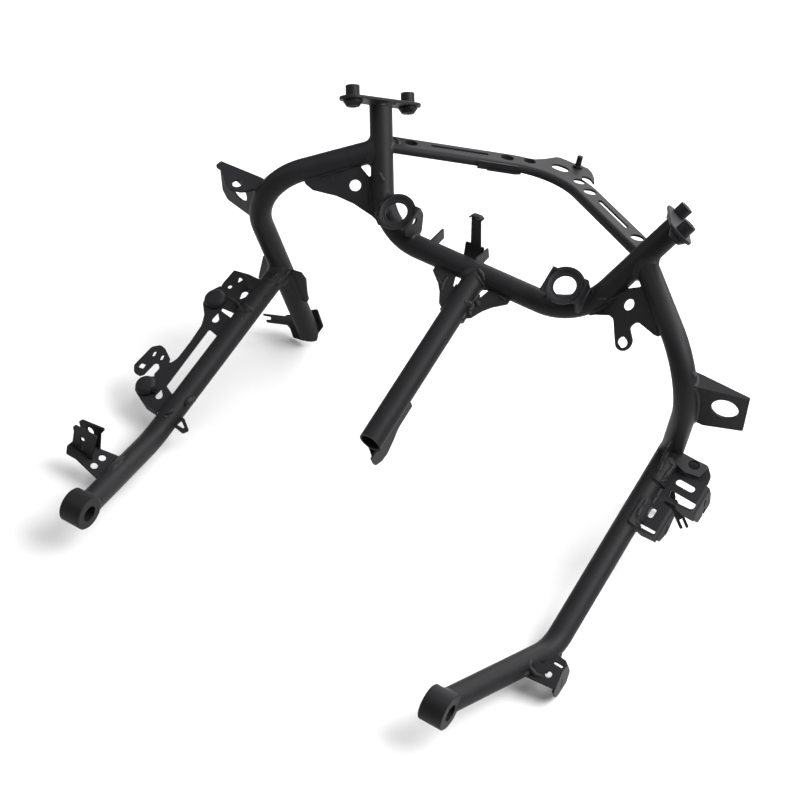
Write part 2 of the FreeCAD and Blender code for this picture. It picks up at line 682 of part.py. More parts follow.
def arm_left(body, *others):
    return mirrored(trimmed(placed(body, ARM), ARM_SOLID, *others))


def left_upper_bracket():
    body = sheet([(6, 226.5), (27.7, 226.7, 4), (47.2, 223.4, 2), (48.5, 203, 2), (41, 199.5), (30, 199.5), (6, 193)],
                 slab([(36.8, 219, 1), (29.8, 217.5, 1), (33, 210, 1)], 40, -20),
                 disc(38.4, 202.0, 5.2, 40, -20), drop(16.6, 201.5, 8.5, 18.2, 192.0))
    return trimmed(arm_left(body), left_rail_bracket())


def left_upper_boss():
    body = disc(16.5, 219.5, 16.0, 5.0, HALF)
    rim = [e for e in body.Edges if e.BoundBox.ZMin > HALF + 4.9]
    body = body.makeFillet(1.0, rim)
    return arm_left(body.cut(disc(16.5, 219.5, 6.0, 3.0, HALF + 3.0)))


def left_rail_bracket():
    """Long plate beside the arm: two lug heads joined by a narrow strip."""
    points = [(6, 190), (6, 195), (40, 195), (48.7, 198.2, 3), (56, 186, 10), (54.5, 169, 10), (43, 156, 6),
              (37.5, 143, 12), (36.2, 118, 40), (36.6, 92, 20), (42.5, 80, 3), (45, 62, 2), (54.7, 56, 7), (59.5, 45, 8),
              (57, 36, 7), (51.4, 33, 4), (36, 26, 6), (18, 24, 3), (6, 30), (6, 50), (15, 52, 1), (27, 57.5, 2),
              (27, 143, 2), (12.3, 139.5), (6, 139)]
    body = slab(points, SHEET, -HALF)
    band = slab([(50.0, 32.6), (36, 26.2, 5), (20, 24.3), (20, 26.7), (35.5, 28.6, 3), (49.2, 34.8)], 11.5, -12.0)
    body = body.fuse(band)
    window = slab([(30.4, 173.9, 1), (12.2, 174.7, 1), (11.1, 166.9, 1), (28.0, 169.5, 1)][::-1], 40, -20)
    for cut in (window, drop(27.4, 156.8, 8.6, 30.6, 166.5), drop(26.6, 42.6, 8.6, 29.6, 51.5),
                drop(16.6, 201.5, 8.5, 18.2, 192.0), disc(38.4, 202.0, 5.2, 40, -20)):
        body = body.cut(cut)
    for x in (30.0, 40.5):
        body = body.cut(Part.makeBox(6.5, 14, 2.4, Vector(x, 22, -8.0)))
    return arm_left(body)


def left_cup(x, y):
    """Round dished cup on the rail bracket."""
    body = disc(x, y, 22.0, 3.5, HALF)
    rim = [e for e in body.Edges if e.BoundBox.ZMin > HALF + 3.4]
    body = body.makeFillet(2.0, rim)
    return arm_left(body.cut(disc(x, y, 13.0, 6.0, HALF + 1.5)))


def left_pin(x, y):
    body = joined(disc(x, y, 8.0, 5.0, HALF), disc(x, y, 4.5, 7.5, HALF))
    return trimmed(arm_left(body), left_cup(47.0, 45.8))


def left_hook_tab():
    points = [(37.5, 86), (42.5, 84, 1), (44.5, 89, 2), (57, 97, 5), (65, 98.5, 6), (73, 91.5, 7), (77, 62, 5),
              (71.5, 54.5, 5), (63, 53.6, 4), (59.5, 58, 3), (57.2, 76.2, 3), (52, 77, 3), (47.6, 72, 3), (48.6, 62.5, 3),
              (46, 60.8), (40, 60), (37.5, 72)]
    square = slab([(71.5, 69, 0.8), (64.5, 69.5, 0.8), (64.5, 62.8, 0.8), (71.5, 62.3, 0.8)], 40, -20)
    body = sheet(points, square, oblong(65.2, 87.5, 64.4, 84, 3.8), oblong(54.0, 87.5, 53.2, 84, 3.8))
    return trimmed(arm_left(body), left_rail_bracket())


def left_loop_bracket():
    """Strap on the inner side of the left arm that ends in a three-cornered loop."""
    loop = sheet([(-8, 31.5), (-17.1, 31.5, 2), (-29.6, 22, 2.5), (-25, 16.5, 3), (-14, 20.5, 2), (-8, 26)],
                 slab([(-16.4, 27.3, 1), (-24.6, 21.6, 1), (-15, 22.8, 1)], 40, -20))
    strap = shoulder(26, 60, 2.0, 16.0)
    strap = strap.mirror(Vector(0, 0, 0), Vector(1, 0, 0))
    return arm_left(joined(loop, strap))


def left_clamp_bracket():
    """Base plate with two holes and two upright cheeks."""
    base = sheet([(5, -3), (14, -6), (38, -9, 1), (64, -12), (66, -30, 3), (64.4, -36, 3), (55, -47.3, 4), (41.5, -47.4, 6),
                  (0, -62), (-8, -50)],
                 disc(23.5, -23.7, 7.4, 40, -20), disc(19.6, -42.4, 7.4, 40, -20))
    rear = end_prism([(38, -HALF), (39.5, 17), (36, 26, 1), (42, 26.5), (66, 21.5), (71, 20, 1), (67, 13), (65, -HALF)],
                     -11.5, -9.0)
    rear = rear.cut(Part.makeCylinder(4.8, 30, Vector(53.5, -25, 15.5), Vector(0, 1, 0)))
    front = end_prism([(31, -HALF), (31, 27), (29, 30, 1), (59, 30, 1), (61.5, 26, 1), (58.8, 21), (58.8, 8), (65.4, -HALF)],
                      -34.5, -32.0)
    cut = placed(slot(0, 0, 0, 13, 5.5, 20), FreeCAD.Placement(Vector(45, -24, 5), FreeCAD.Rotation(Vector(1, 0, 0), 90)))
    body = joined(base, rear, front.cut(cut))
    return mirrored(trimmed(placed(body, LOW), ARM_SOLID, BUSH_SOLID))


# brackets on the legs

def foot_plate():
    points = [(12, 25, 3), (7.8, 26.6), (-0.6, 31.7, 3), (-15.2, 14.5, 3), (-9.3, -1.5, 2), (-0.4, -4.4, 3), (4.2, -13, 1),
              (19.3, -15.2, 2), (27, -6, 4), (38, -1.5, 2), (38, 7.5, 2), (30, 11, 5), (20, 18, 5)]
    body = slab(points, SHEET, -SHEET)
    return placed(body, FOOT)


def fork_clip(pl):
    """Strip with a forked end."""
    body = sheet([(-6, 4, 1), (34, 4, 2), (34, 0.8), (19, 0.8, 1), (19, -1.6, 1), (31, -1.6), (31, -4, 2), (-6, -4, 1)])
    return trimmed(placed(body, pl), foot_plate())


def left_rear_bracket():
    body = sheet([(-8, 38.4), (-28.7, 38, 2), (-32.3, 27.6, 3), (-24.2, -2.8), (-22.9, -13, 2), (-19.1, -18.2, 2), (-8, -18)])
    return mirrored(trimmed(placed(body, REAR), ARCH_SOLID, ARM_SOLID))


def left_web():
    body = sheet([(6, 8), (23.5, 11.5, 3), (41.7, -41.4, 3), (40.1, -54.5), (6, -38)])
    return mirrored(trimmed(placed(body, WEB), ARCH_SOLID, ARM_SOLID))


def build():
    nodes = {}
    hoop, arch, arm, bush = hollow_bits()
    nodes["main_hoop"] = hoop
    nodes["right_arch_tube"] = arch
    nodes["left_arch_tube"] = mirrored(arch)
    nodes["right_arm_tube"] = arm
    nodes["left_arm_tube"] = mirrored(arm)
    nodes["right_arm_bush"] = bush
    nodes["left_arm_bush"] = mirrored(bush)
    nodes["centre_strut_tube"] = strut_tube()
    plate = post_plate()
    nodes["right_post_plate"] = plate
    nodes["left_post_plate"] = mirrored(plate)
    for s, word in ((1, "inner"), (-1, "outer")):
        nodes["right_%s_boss" % word] = post_boss(s)
        nodes["left_%s_boss" % word] = mirrored(post_boss(s))
        nodes["right_%s_nut" % word] = post_nut(s)
        nodes["left_%s_nut" % word] = mirrored(post_nut(s))
    nodes["right_gusset"] = gusset(True)
    nodes["left_gusset"] = mirrored(gusset(False))
    ring = ring_bracket()
    nodes["right_ring_bracket"] = ring
    nodes["left_ring_bracket"] = mirrored(ring)
    nodes["rear_cross_plate"] = cross_plate()
    nodes["cross_plate_stud"] = cross_stud()
    nodes["cross_plate_hook"] = cross_hook()
    nodes["centre_strut_saddle"] = strut_saddle()
    nodes["harness_bracket"] = harness_bracket()
    nodes["cross_plate_front_tab"] = cross_tab()
    nodes["centre_strut_hook"] = strut_hook()
    nodes["right_wing_bracket"] = right_wing()
    nodes["left_wing_bracket"] = left_wing()
    nodes["left_wing_lug"] = left_wing_lug()
    nodes["right_tab_plate"] = right_tab_plate()
    nodes["right_tab_boss"] = right_tab_boss()
    nodes["right_slotted_bracket"] = right_slotted_bracket()
    nodes["right_lower_bracket"] = right_lower_bracket()
    nodes["right_box_bracket"] = right_box_bracket()
    nodes["left_upper_bracket"] = left_upper_bracket()
    nodes["left_upper_boss"] = left_upper_boss()
    nodes["left_rail_bracket"] = left_rail_bracket()
    nodes["left_upper_cup"] = left_cup(42.9, 179.0)
    nodes["left_lower_cup"] = left_cup(47.0, 45.8)
    nodes["left_rail_pin"] = left_pin(33.5, 46.0)
    nodes["left_hook_tab"] = left_hook_tab()
    nodes["left_loop_bracket"] = left_loop_bracket()
    nodes["left_clamp_bracket"] = left_clamp_bracket()
    nodes["right_foot_plate"] = foot_plate()
    nodes["left_foot_plate"] = mirrored(foot_plate())
    nodes["right_fork_clip"] = fork_clip(RIGHT_FORK)
    nodes["left_fork_clip"] = mirrored(fork_clip(LEFT_FORK))
    nodes["left_rear_bracket"] = left_rear_bracket()
    nodes["left_arch_web"] = left_web()
    return nodes


def main():
    nodes = build()
    whole = Part.makeCompound(list(nodes.values()))
    box = whole.optimalBoundingBox()
    shift = Vector(-box.Center.x, -box.Center.y, -box.ZMin)
    for name, shape in nodes.items():
        shape.translate(shift)
        shape.exportStep("parts/%s.step" % name)
    print(len(nodes), "nodes", "size", round(box.XLength, 1), round(box.YLength, 1), round(box.ZLength, 1))
    print("shift", [round(v, 2) for v in shift])


main()
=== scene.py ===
import math

import bmesh
import bpy
from mathutils import Matrix, Vector
from mathutils.bvhtree import BVHTree


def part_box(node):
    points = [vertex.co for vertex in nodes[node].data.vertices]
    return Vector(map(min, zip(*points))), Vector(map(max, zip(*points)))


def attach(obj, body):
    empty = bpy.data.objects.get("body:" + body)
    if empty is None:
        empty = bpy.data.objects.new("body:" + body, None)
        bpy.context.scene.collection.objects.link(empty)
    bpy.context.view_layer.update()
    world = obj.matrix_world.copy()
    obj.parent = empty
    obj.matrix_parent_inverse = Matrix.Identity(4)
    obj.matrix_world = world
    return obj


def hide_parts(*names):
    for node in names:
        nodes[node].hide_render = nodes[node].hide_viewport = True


# Motorcycle fairing stay. The scene is in metres; drawing planes and outlines are in mm
# from BUSH_LINE, the middle of the line through the two arm bushes.
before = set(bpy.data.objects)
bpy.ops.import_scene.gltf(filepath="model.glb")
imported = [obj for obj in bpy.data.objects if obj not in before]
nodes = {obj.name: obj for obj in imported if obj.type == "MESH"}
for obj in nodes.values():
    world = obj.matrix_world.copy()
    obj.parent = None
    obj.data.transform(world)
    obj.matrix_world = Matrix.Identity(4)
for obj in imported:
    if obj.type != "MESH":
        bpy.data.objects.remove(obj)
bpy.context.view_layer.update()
MM = 0.001
BUSH_CORNERS = [corner for side in ("right", "left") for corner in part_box(side + "_arm_bush")]
BUSH_LINE = sum(BUSH_CORNERS, Vector()) / 4


def shown(name, data):
    """A new object of the scene."""
    thing = bpy.data.objects.new(name, data)
    bpy.context.scene.collection.objects.link(thing)
    return thing


# nodes of materials and geometry

class S:
    """A socket that takes part in Python expressions."""

    def __init__(self, tree, socket):
        self.tree = tree
        self.socket = socket

    def maths(self, operation, *others, flip=False):
        node = self.tree.nodes.new("ShaderNodeMath")
        node.operation = operation
        values = [self, *others]
        if flip:
            values.reverse()
        for i, v in enumerate(values):
            plug(self.tree, node.inputs[i], v)
        return S(self.tree, node.outputs[0])

    def __add__(self, other):
        return self.maths("ADD", other)

    __radd__ = __add__

    def __mul__(self, other):
        return self.maths("MULTIPLY", other)

    def __sub__(self, other):
        return self.maths("SUBTRACT", other)

    def __rsub__(self, other):
        return self.maths("SUBTRACT", other, flip=True)

    def __truediv__(self, other):
        return self.maths("DIVIDE", other)

    def __pow__(self, other):
        return self.maths("POWER", other)

    def clamp(self):
        return self.maths("MAXIMUM", 0.0).maths("MINIMUM", 1.0)


def plug(tree, target, value):
    """Links a socket or sets a value."""
    if isinstance(value, S):
        tree.links.new(value.socket, target)
    else:
        target.default_value = value


def add_node(tree, kind, output, settings, inputs):
    """One output of a new node."""
    node = tree.nodes.new(kind)
    for key, value in settings.items():
        setattr(node, key, value)
    for key, value in inputs.items():
        plug(tree, node.inputs[key.replace("_", " ")], value)
    return S(tree, node.outputs[output])


# socket numbers: the Object output of texture coordinates, and a colour mix's sockets
OBJECT_OUTPUT = 3
COLOUR_INPUTS = (0, 6, 7)
COLOUR_OUTPUT = 2


class Paint:
    """A material with short ways to add nodes."""

    def __init__(self, name):
        self.material = bpy.data.materials.new(name)
        self.material.use_nodes = True
        self.tree = self.material.node_tree
        self.tree.nodes.clear()

    def node(self, kind, output=0, **inputs):
        return add_node(self.tree, kind, output, {}, inputs)

    def place(self):
        """Object coordinates, in metres."""
        where = self.node("ShaderNodeTexCoord", OBJECT_OUTPUT)
        return self.node("ShaderNodeMapping", Vector=where)

    def noise(self, where, scale, detail, roughness):
        return self.node("ShaderNodeTexNoise", Vector=where, Scale=scale, Detail=detail,
                         Roughness=roughness)

    def mix(self, factor, a, b):
        """Blend of two colours."""
        node = self.tree.nodes.new("ShaderNodeMix")
        node.data_type = "RGBA"
        for index, value in zip(COLOUR_INPUTS, (factor, a, b)):
            plug(self.tree, node.inputs[index], value)
        return S(self.tree, node.outputs[COLOUR_OUTPUT])

    def bump(self, height, strength, distance):
        return self.node("ShaderNodeBump", Strength=strength, Distance=distance, Height=height)

    def surface(self, **inputs):
        """Principled surface; closes the material."""
        surface = self.node("ShaderNodeBsdfPrincipled", **inputs)
        out = self.tree.nodes.new("ShaderNodeOutputMaterial")
        self.tree.links.new(surface.socket, out.inputs[0])
        return self.material


def grey(level, blue=1.0):
    """Colour value of a grey, with this share of blue in it."""
    return (level, level, level * blue, 1.0)


# finishes

# noise scales, per metre
CLOUD_SCALE = 24.0
PEEL_SCALE = 820.0
FLECK_SCALE = 2600.0
DUST_SCALE = 340.0
WELD_CLOUD_SCALE = 60.0
WELD_LUMP_SCALE = 420.0
DUST_LEVEL = 0.66       # noise above this is dust
COLD = 1.13             # blue in the black
PAINT_IOR = 1.23        # low, for the weak sheen of satin paint
WELD_IOR = 1.24


def satin_black(name, dark=0.005, light=0.011, rough=0.52, grain=1.0):
    """Satin black paint on steel: fine orange peel, faint cloudy sheen, a little dust."""
    p = Paint(name)
    where = p.place()
    cloud = p.noise(where, CLOUD_SCALE, 3.0, 0.55)
    peel = p.noise(where, PEEL_SCALE, 2.0, 0.5)
    fleck = p.noise(where, FLECK_SCALE, 1.0, 0.5)
    dust = (p.noise(where, DUST_SCALE, 4.0, 0.65) - DUST_LEVEL) * 9.0
    tone = p.mix(cloud, grey(dark, COLD), grey(light, COLD))
    tone = p.mix(dust.clamp() * 0.35, tone, grey(0.05, 1.02))
    roughness = rough + (cloud - 0.5) * 0.16 + (fleck - 0.5) * 0.10
    coat = p.bump(peel * 0.6 + fleck * 0.4, 0.20 * grain, 0.2 * MM)
    return p.surface(Base_Color=tone, Roughness=roughness, Normal=coat, IOR=PAINT_IOR)


def weld_black(name):
    """The same paint over weld metal, with spatter and a little more gloss."""
    p = Paint(name)
    where = p.place()
    cloud = p.noise(where, WELD_CLOUD_SCALE, 3.0, 0.6)
    lump = p.noise(where, WELD_LUMP_SCALE, 3.0, 0.6)
    tone = p.mix(cloud, (0.008, 0.008, 0.0085, 1.0), (0.018, 0.018, 0.019, 1.0))
    rough = 0.46 + (lump - 0.5) * 0.3
    bead = p.bump(lump, 0.5, 0.4 * MM)
    return p.surface(Base_Color=tone, Roughness=rough, Normal=bead, IOR=WELD_IOR)


tube_paint = satin_black("tube_paint")
sheet_paint = satin_black("sheet_paint", dark=0.006, light=0.012, rough=0.53, grain=1.2)
nut_paint = satin_black("nut_paint", dark=0.005, light=0.010, rough=0.48)
weld_paint = weld_black("weld_paint")

TUBES = ("main_hoop", "right_arch_tube", "left_arch_tube", "right_arm_tube", "left_arm_tube",
         "centre_strut_tube", "right_arm_bush", "left_arm_bush")
for name, piece in nodes.items():
    if name in TUBES:
        finish = tube_paint
    elif name.endswith(("nut", "boss", "stud", "pin")):
        finish = nut_paint
    else:
        finish = sheet_paint
    for slot in piece.material_slots:
        slot.material = finish


# pieces with finer form than the solids

def merged(name):
    """A copy of one node's mesh with its facets joined."""
    mesh = bmesh.new()
    mesh.from_mesh(nodes[name].data)
    bmesh.ops.remove_doubles(mesh, verts=mesh.verts, dist=0.02 * MM)
    return mesh


CORNER_STEPS = 6        # points of a rounded corner
END_STEPS = 12          # points of a slot's round end
MOST_OF_SIDE = 0.48     # a corner's round takes at most this share of either side


def rounded(points):
    """Outline in mm; a point's third value is the radius of its corner."""
    out = []
    count = len(points)
    for i, point in enumerate(points):
        corner = Vector(point[:2])
        if len(point) == 2:
            out.append(corner)
            continue
        before = Vector(points[i - 1][:2]) - corner
        after = Vector(points[(i + 1) % count][:2]) - corner
        half = before.angle(after) / 2
        cut = min(point[2] / math.tan(half), MOST_OF_SIDE * before.length, MOST_OF_SIDE * after.length)
        radius = cut * math.tan(half)
        start = corner + before.normalized() * cut
        end = corner + after.normalized() * cut
        centre = corner + (before.normalized() + after.normalized()).normalized() * radius / math.sin(half)
        for k in range(CORNER_STEPS + 1):
            share = k / CORNER_STEPS
            spoke = (start - centre) * (1 - share) + (end - centre) * share
            out.append(centre + spoke.normalized() * radius)
    return out


def circle(x, y, d, steps=36):
    """Round outline of diameter d."""
    turn = 2 * math.pi / steps
    return [Vector((x + d / 2 * math.cos(turn * k), y + d / 2 * math.sin(turn * k))) for k in range(steps)]


def obround(x1, y1, x2, y2, width):
    """Slot outline between the centres of its two ends."""
    a, b = Vector((x1, y1)), Vector((x2, y2))
    run = (b - a).normalized() * width / 2
    out = []
    for centre, way in ((b, run), (a, -run)):
        for k in range(END_STEPS + 1):
            t = math.pi * (k / END_STEPS - 0.5)
            turn = Matrix(((math.cos(t), -math.sin(t)), (math.sin(t), math.cos(t))))
            out.append(centre + turn @ way)
    return out


def axes(origin, x, y):
    """Matrix of a drawing plane, in mm from the bush line."""
    x = Vector(x).normalized()
    z = x.cross(Vector(y)).normalized()
    turn = Matrix((x, z.cross(x), z)).transposed().to_4x4()
    return Matrix.Translation(Vector(origin)) @ turn


# turns of a drawing plane: seen from the side (y, z) and from the end (x, z)
SIDE = Matrix(((0, 0, 1, 0), (1, 0, 0, 0), (0, 1, 0, 0), (0, 0, 0, 1)))
END = Matrix(((1, 0, 0, 0), (0, 0, -1, 0), (0, 1, 0, 0), (0, 0, 0, 1)))
# drawing planes of the sheet pieces
POST = axes((182.8, 463.0, 295.6), (-0.3851, 0.8622, -0.3291), (-0.8179, -0.1537, 0.5544))
RING = axes((104.5, 386.5, 224.9), (1, 0, 0), (0, 0.8398, 0.5429))
ARM = axes((256.5, 171.0, -32.0), (1, 0, 0), (0, 0.9042, 0.4270))
FOOT = axes((237.5, 444.0, -36.0), (1, 0, 0), (0, 0.3489, 0.9371))
BOX = axes((245.0, 117.0, -25.7), (0.9888, 0.1350, 0.0640), (-0.1494, 0.8942, 0.4221))
CLAMP = axes((245.0, 117.0, -25.7), (0.9679, -0.0650, 0.2430), (-0.0004, 0.9657, 0.2598))
UPRIGHT = axes((245.0, 117.0, -25.7), (1, 0, 0), (0, 1, 0))
TAB = axes((269.5, 392.2, 75.8), (0.9927, 0.0210, -0.1190), (-0.0002, 0.9851, 0.1720))
CROSS = axes((0.0, 560.7, 243.7), (1, 0, 0), (0, 0.9839, -0.1788))
HARNESS = axes((0.0, 395.0, 187.5), (1, 0, 0), (0, 1, 0))
RIGHT_FORK = axes((264.0, 439.5, -32.5), (0.6816, -0.7317, 0.0), (0.5785, 0.5389, 0.6123))
LEFT_FORK = axes((265.0, 442.0, -30.5), (0.7586, -0.6356, 0.1435), (0.4446, 0.6659, 0.5991))
T = 2.5                 # sheet thickness
HALF = T / 2
SAME_SPOT = 1e-6        # points this near to each other, in metres, are one
SOFT_ANGLE = math.radians(35)


def plate(plane, outline, holes=(), bottom=-HALF, top=HALF, soft=0.35):
    """Flat plate with softened edges, between two heights over its drawing plane."""
    data = bpy.data.curves.new("outline", "CURVE")
    data.dimensions = "2D"
    data.fill_mode = "BOTH"
    data.bevel_depth = soft * MM
    data.bevel_resolution = 1
    data.offset = -soft * MM
    data.extrude = max((top - bottom) / 2 - soft, 0.01) * MM
    for loop in (outline, *holes):
        loop = rounded(loop)
        spline = data.splines.new("POLY")
        spline.points.add(len(loop) - 1)
        for point, (x, y) in zip(spline.points, loop):
            point.co = (x * MM, y * MM, 0, 1)
        spline.use_cyclic_u = True
    source = bpy.data.objects.new("outline", data)
    mesh = bpy.data.meshes.new_from_object(source)
    bpy.data.objects.remove(source)
    bpy.data.curves.remove(data)
    shape = bmesh.new()
    shape.from_mesh(mesh)
    bpy.data.meshes.remove(mesh)
    bmesh.ops.remove_doubles(shape, verts=shape.verts, dist=SAME_SPOT)
    middle = Matrix.Translation((0, 0, (top + bottom) / 2))
    shape.transform(Matrix.Scale(MM, 4) @ plane @ middle @ Matrix.Scale(1 / MM, 4))
    bmesh.ops.recalc_face_normals(shape, faces=shape.faces)
    return shape


def turned(plane, x, y, profile, steps=48):
    """Ring or boss turned from (radius, height) points, round (x, y) of the plane."""
    # drawn in mm, so the distances for joining points are in mm too
    shape = bmesh.new()
    rows = []
    for k in range(steps):
        t = 2 * math.pi * k / steps
        rows.append([shape.verts.new((x + r * math.cos(t), y + r * math.sin(t), z)) for r, z in profile])
    for k in range(steps):
        a, b = rows[k], rows[(k + 1) % steps]
        for j in range(len(profile)):
            m = (j + 1) % len(profile)
            face = shape.faces.new((a[j], b[j], b[m], a[m]))
            face.smooth = True
    bmesh.ops.remove_doubles(shape, verts=shape.verts, dist=1e-4)
    bmesh.ops.dissolve_degenerate(shape, edges=shape.edges, dist=1e-5)
    shape.transform(Matrix.Scale(MM, 4) @ plane)
    bmesh.ops.recalc_face_normals(shape, faces=shape.faces)
    for e in shape.edges:
        e.smooth = e.calc_face_angle(0) < SOFT_ANGLE
    return shape


SIDES = (("right", False), ("left", True))      # every outline is drawn for the right side


def finer(name, shapes, finish, *stands_for, mirror=False):
    """One piece of several shapes in place of nodes of the stay."""
    whole = bmesh.new()
    for shape in shapes:
        mesh = bpy.data.meshes.new("part")
        shape.to_mesh(mesh)
        shape.free()
        whole.from_mesh(mesh)
        bpy.data.meshes.remove(mesh)
    if mirror:
        whole.transform(Matrix.Diagonal((-1, 1, 1, 1)))
        bmesh.ops.reverse_faces(whole, faces=whole.faces)
    whole.transform(Matrix.Translation(BUSH_LINE))
    mesh = bpy.data.meshes.new(name)
    whole.to_mesh(mesh)
    whole.free()
    mesh.materials.append(finish)
    piece = shown(name, mesh)
    if stands_for:
        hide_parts(*stands_for)
    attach(piece, "root")
    return piece


# post plates with flanged weld nuts
BOSS_AT = 79.7 / 2      # lamp bosses, from the middle of the post plate
BOSS_BORE = 8.4
POST_WIDE = 29.5
NUT = [(BOSS_BORE / 2, -7.5), (6.9, -7.5), (7.3, -7.1), (9.9, -3.2), (10.6, -2.6), (10.75, -0.4),
       (10.5, 0), (BOSS_BORE / 2, 0)]
for side, mirror in SIDES:
    ends = [circle(s * BOSS_AT, 0, BOSS_BORE) for s in (-1, 1)]
    body = plate(POST, obround(-BOSS_AT, 0, BOSS_AT, 0, POST_WIDE), ends, 0, 3.5, 0.5)
    finer(side + "_post_plate_fine", [body], sheet_paint, side + "_post_plate", mirror=mirror)
    for word, s in (("inner", -1), ("outer", 1)):
        nut = side + "_" + word + "_nut"
        finer(nut + "_fine", [turned(POST, s * BOSS_AT, 0, NUT)], nut_paint, nut, mirror=mirror)

# lamp rings: a seat pressed into the sheet between folded ears
SEAT = [(21.6, 2.0), (21.2, 2.5), (18.6, 2.5), (17.2, 1.9), (15.4, 0.7), (14.2, 0.5), (12.4, 0.5),
        (12.1, 0.1), (12.1, -1.7), (12.4, -2.0), (14.8, -2.0), (16.6, -0.9), (18.0, 0), (21.3, 0)]
OUTER_EAR = {
    "right": [(-14.5, 1.5), (-14.5, -20, 3), (-9, -34, 4), (4, -34, 4), (15, -14, 6), (15.5, 1.5)],
    "left": [(-14.5, 1.5), (-14.5, -20, 3), (-6, -34, 5), (5, -34, 5), (15, -16, 9), (15.5, 1.5)],
}
INNER_EAR = [(-6, -36, 5), (5, -36, 5), (16.8, -16, 9), (16, -1, 4), (14.5, 1.5), (-16, 1.5), (-16, -12, 3)]
for side, mirror in SIDES:
    shapes = [
        turned(RING, 0, 0, SEAT),
        plate(RING, [(14, 15.5), (20.5, 15.5, 1), (20.5, -14.5, 1), (14, -14.5), (18, 0)], (), 0, T),
        plate(RING, [(-14, 14.5), (-18, 0), (-14, -16), (-21.5, -16, 1), (-21.5, 14.5, 1)], (), 0, T),
        plate(RING @ SIDE, OUTER_EAR[side], (), 20.5 - T, 20.5),
    ]
    if side == "left":
        shapes.append(plate(RING @ SIDE, INNER_EAR, [circle(1.2, -7.0, 8.4)], -21.5, T - 21.5))
    finer(side + "_ring_fine", shapes, sheet_paint, side + "_ring_bracket", mirror=mirror)

# harness bracket behind the middle of the hoop: two cheeks, a web and a post with its lip
finer("harness_fine", [
    plate(HARNESS @ SIDE, [(5, 12, 1), (29.7, 14.8, 1), (34, 0.1, 1), (23.8, -1.3), (23, -12), (12, -12)],
          (), -66, -64),
    plate(HARNESS @ SIDE, [(5, 13.2, 1), (32.5, 12.6, 1), (37.5, -2, 1), (27, -3.2), (23, -12), (12, -12)],
          (), -10, -8),
    plate(HARNESS @ END, [(-66, -12), (-8, -12), (-8, -1), (-66, -1)], (), -22, -20),
    plate(HARNESS @ END, [(-31, -4), (-8, -4), (-8, 19.2, 1), (-12, 18.8), (-16.6, 50), (-28.3, 50),
                          (-24.6, 18.2), (-31, 17.4, 1)], (), -22, -20),
    plate(HARNESS @ END, [(-31, 50.3), (-30, 49.3), (-27, 52, 2), (-18.5, 52.6, 2), (-15.4, 50.8),
                          (-14.4, 51.8), (-18, 54.8, 2), (-27.5, 54, 2)], (), -25, -18),
], sheet_paint, "harness_bracket")

# foot below the bend of the right arm: a top and a side that reaches the floor
finer("right_box_fine", [
    plate(BOX, [(9, -8.6), (16.6, -9.5), (42.4, -11.5, 1), (42.4, 14.2, 1), (45.4, 15.4, 1), (43.6, 18.4, 2),
                (41.5, 20.6, 2), (34.4, 22.6, 2), (29.9, 23.0, 2), (27.5, 19), (22.9, 9.7), (9, 10)],
          [circle(30.6, 1.3, 7.0), obround(32.5, 14.6, 41.5, 12.8, 2.6)]),
    plate(BOX @ SIDE, [(-14.3, 1.2), (-14.3, -4.1, 3), (-12.8, -18, 3), (-7.2, -24.5, 5), (12.2, -38.4, 4.6),
                       (24, -33.8, 5), (21.5, -10, 3), (10.3, 1.2)],
          [obround(5.8, -15.5, -0.3, -20.5, 2.2)], 40.0, 42.5),
], sheet_paint, "right_box_bracket")

# clamp with a leaning base and two upright cheeks
finer("left_clamp_fine", [
    plate(CLAMP, [(10, -6.2), (17.4, -7.2), (34.5, -11.6, 2), (64, -17, 2), (65.9, -31.4, 3),
                  (60.8, -39.4, 3), (48.9, -38, 4), (13.1, -43.5, 2), (9.5, -40)],
          [circle(27.0, -19.3, 8.0), circle(27.8, -32.4, 8.0)]),
    plate(UPRIGHT @ END, [(34.5, 5), (60.5, 10), (62, 25), (63.4, 30.4), (59.8, 34.2, 1), (29, 38.0, 1),
                          (28.6, 35.5), (33.3, 28, 2)], [circle(47.3, 25.1, 9.6)], 12.75, 15.25),
    plate(UPRIGHT @ END, [(32.5, 1), (64.5, 7), (59.3, 13.5, 4), (57, 30), (58.1, 35.5, 0.5), (55.6, 39.2, 1),
                          (27.2, 39.1, 0.5), (25.3, 37.8, 1), (32.5, 6)],
          [obround(45, 12, 45, 27, 5.5)], 28.75, 31.25),
], sheet_paint, "left_clamp_bracket", mirror=True)

# lug with its ear on the right arm
finer("right_tab_fine", [
    plate(TAB, [(-4, -11), (4.6, -13.3, 1), (11.9, -15.8, 3), (27.8, -11.7, 2), (29.6, 4.6, 1),
                (28.8, 7.3, 1), (0, 6.7, 2), (-4, 6)], [circle(15.8, -0.8, 12.2)]),
], sheet_paint, "right_tab_plate")
finer("right_tab_ear", [
    plate(ARM, [(10, 230), (45, 228, 3), (50.1, 235.9, 5), (48.5, 246, 7), (40, 256, 7), (10, 256)],
          (), -9.3, -6.8),
], sheet_paint, "right_tab_boss")

# domed cups and the upper bracket of the left arm
for word, x, y, r in (("upper", 42.9, 179.0, 13.0), ("lower", 47.0, 45.8, 12.5)):
    dome = [(0, 8.2), (r - 5.5, 8.1), (r - 3.4, 7.4), (r - 1.6, 6.2), (r - 0.5, 4.6), (r, 3.0), (r, HALF),
            (0, HALF)]
    cup = "left_" + word + "_cup"
    finer(cup + "_fine", [turned(ARM, x, y, dome)], sheet_paint, cup, mirror=True)
BOSS = [(0, 9.7), (7.0, 9.6), (8.6, 8.9), (9.4, 7.6), (9.5, 6), (9.5, HALF), (0, HALF)]
finer("left_upper_boss_fine", [turned(ARM, 10.5, 214.5, BOSS)], nut_paint, "left_upper_boss", mirror=True)

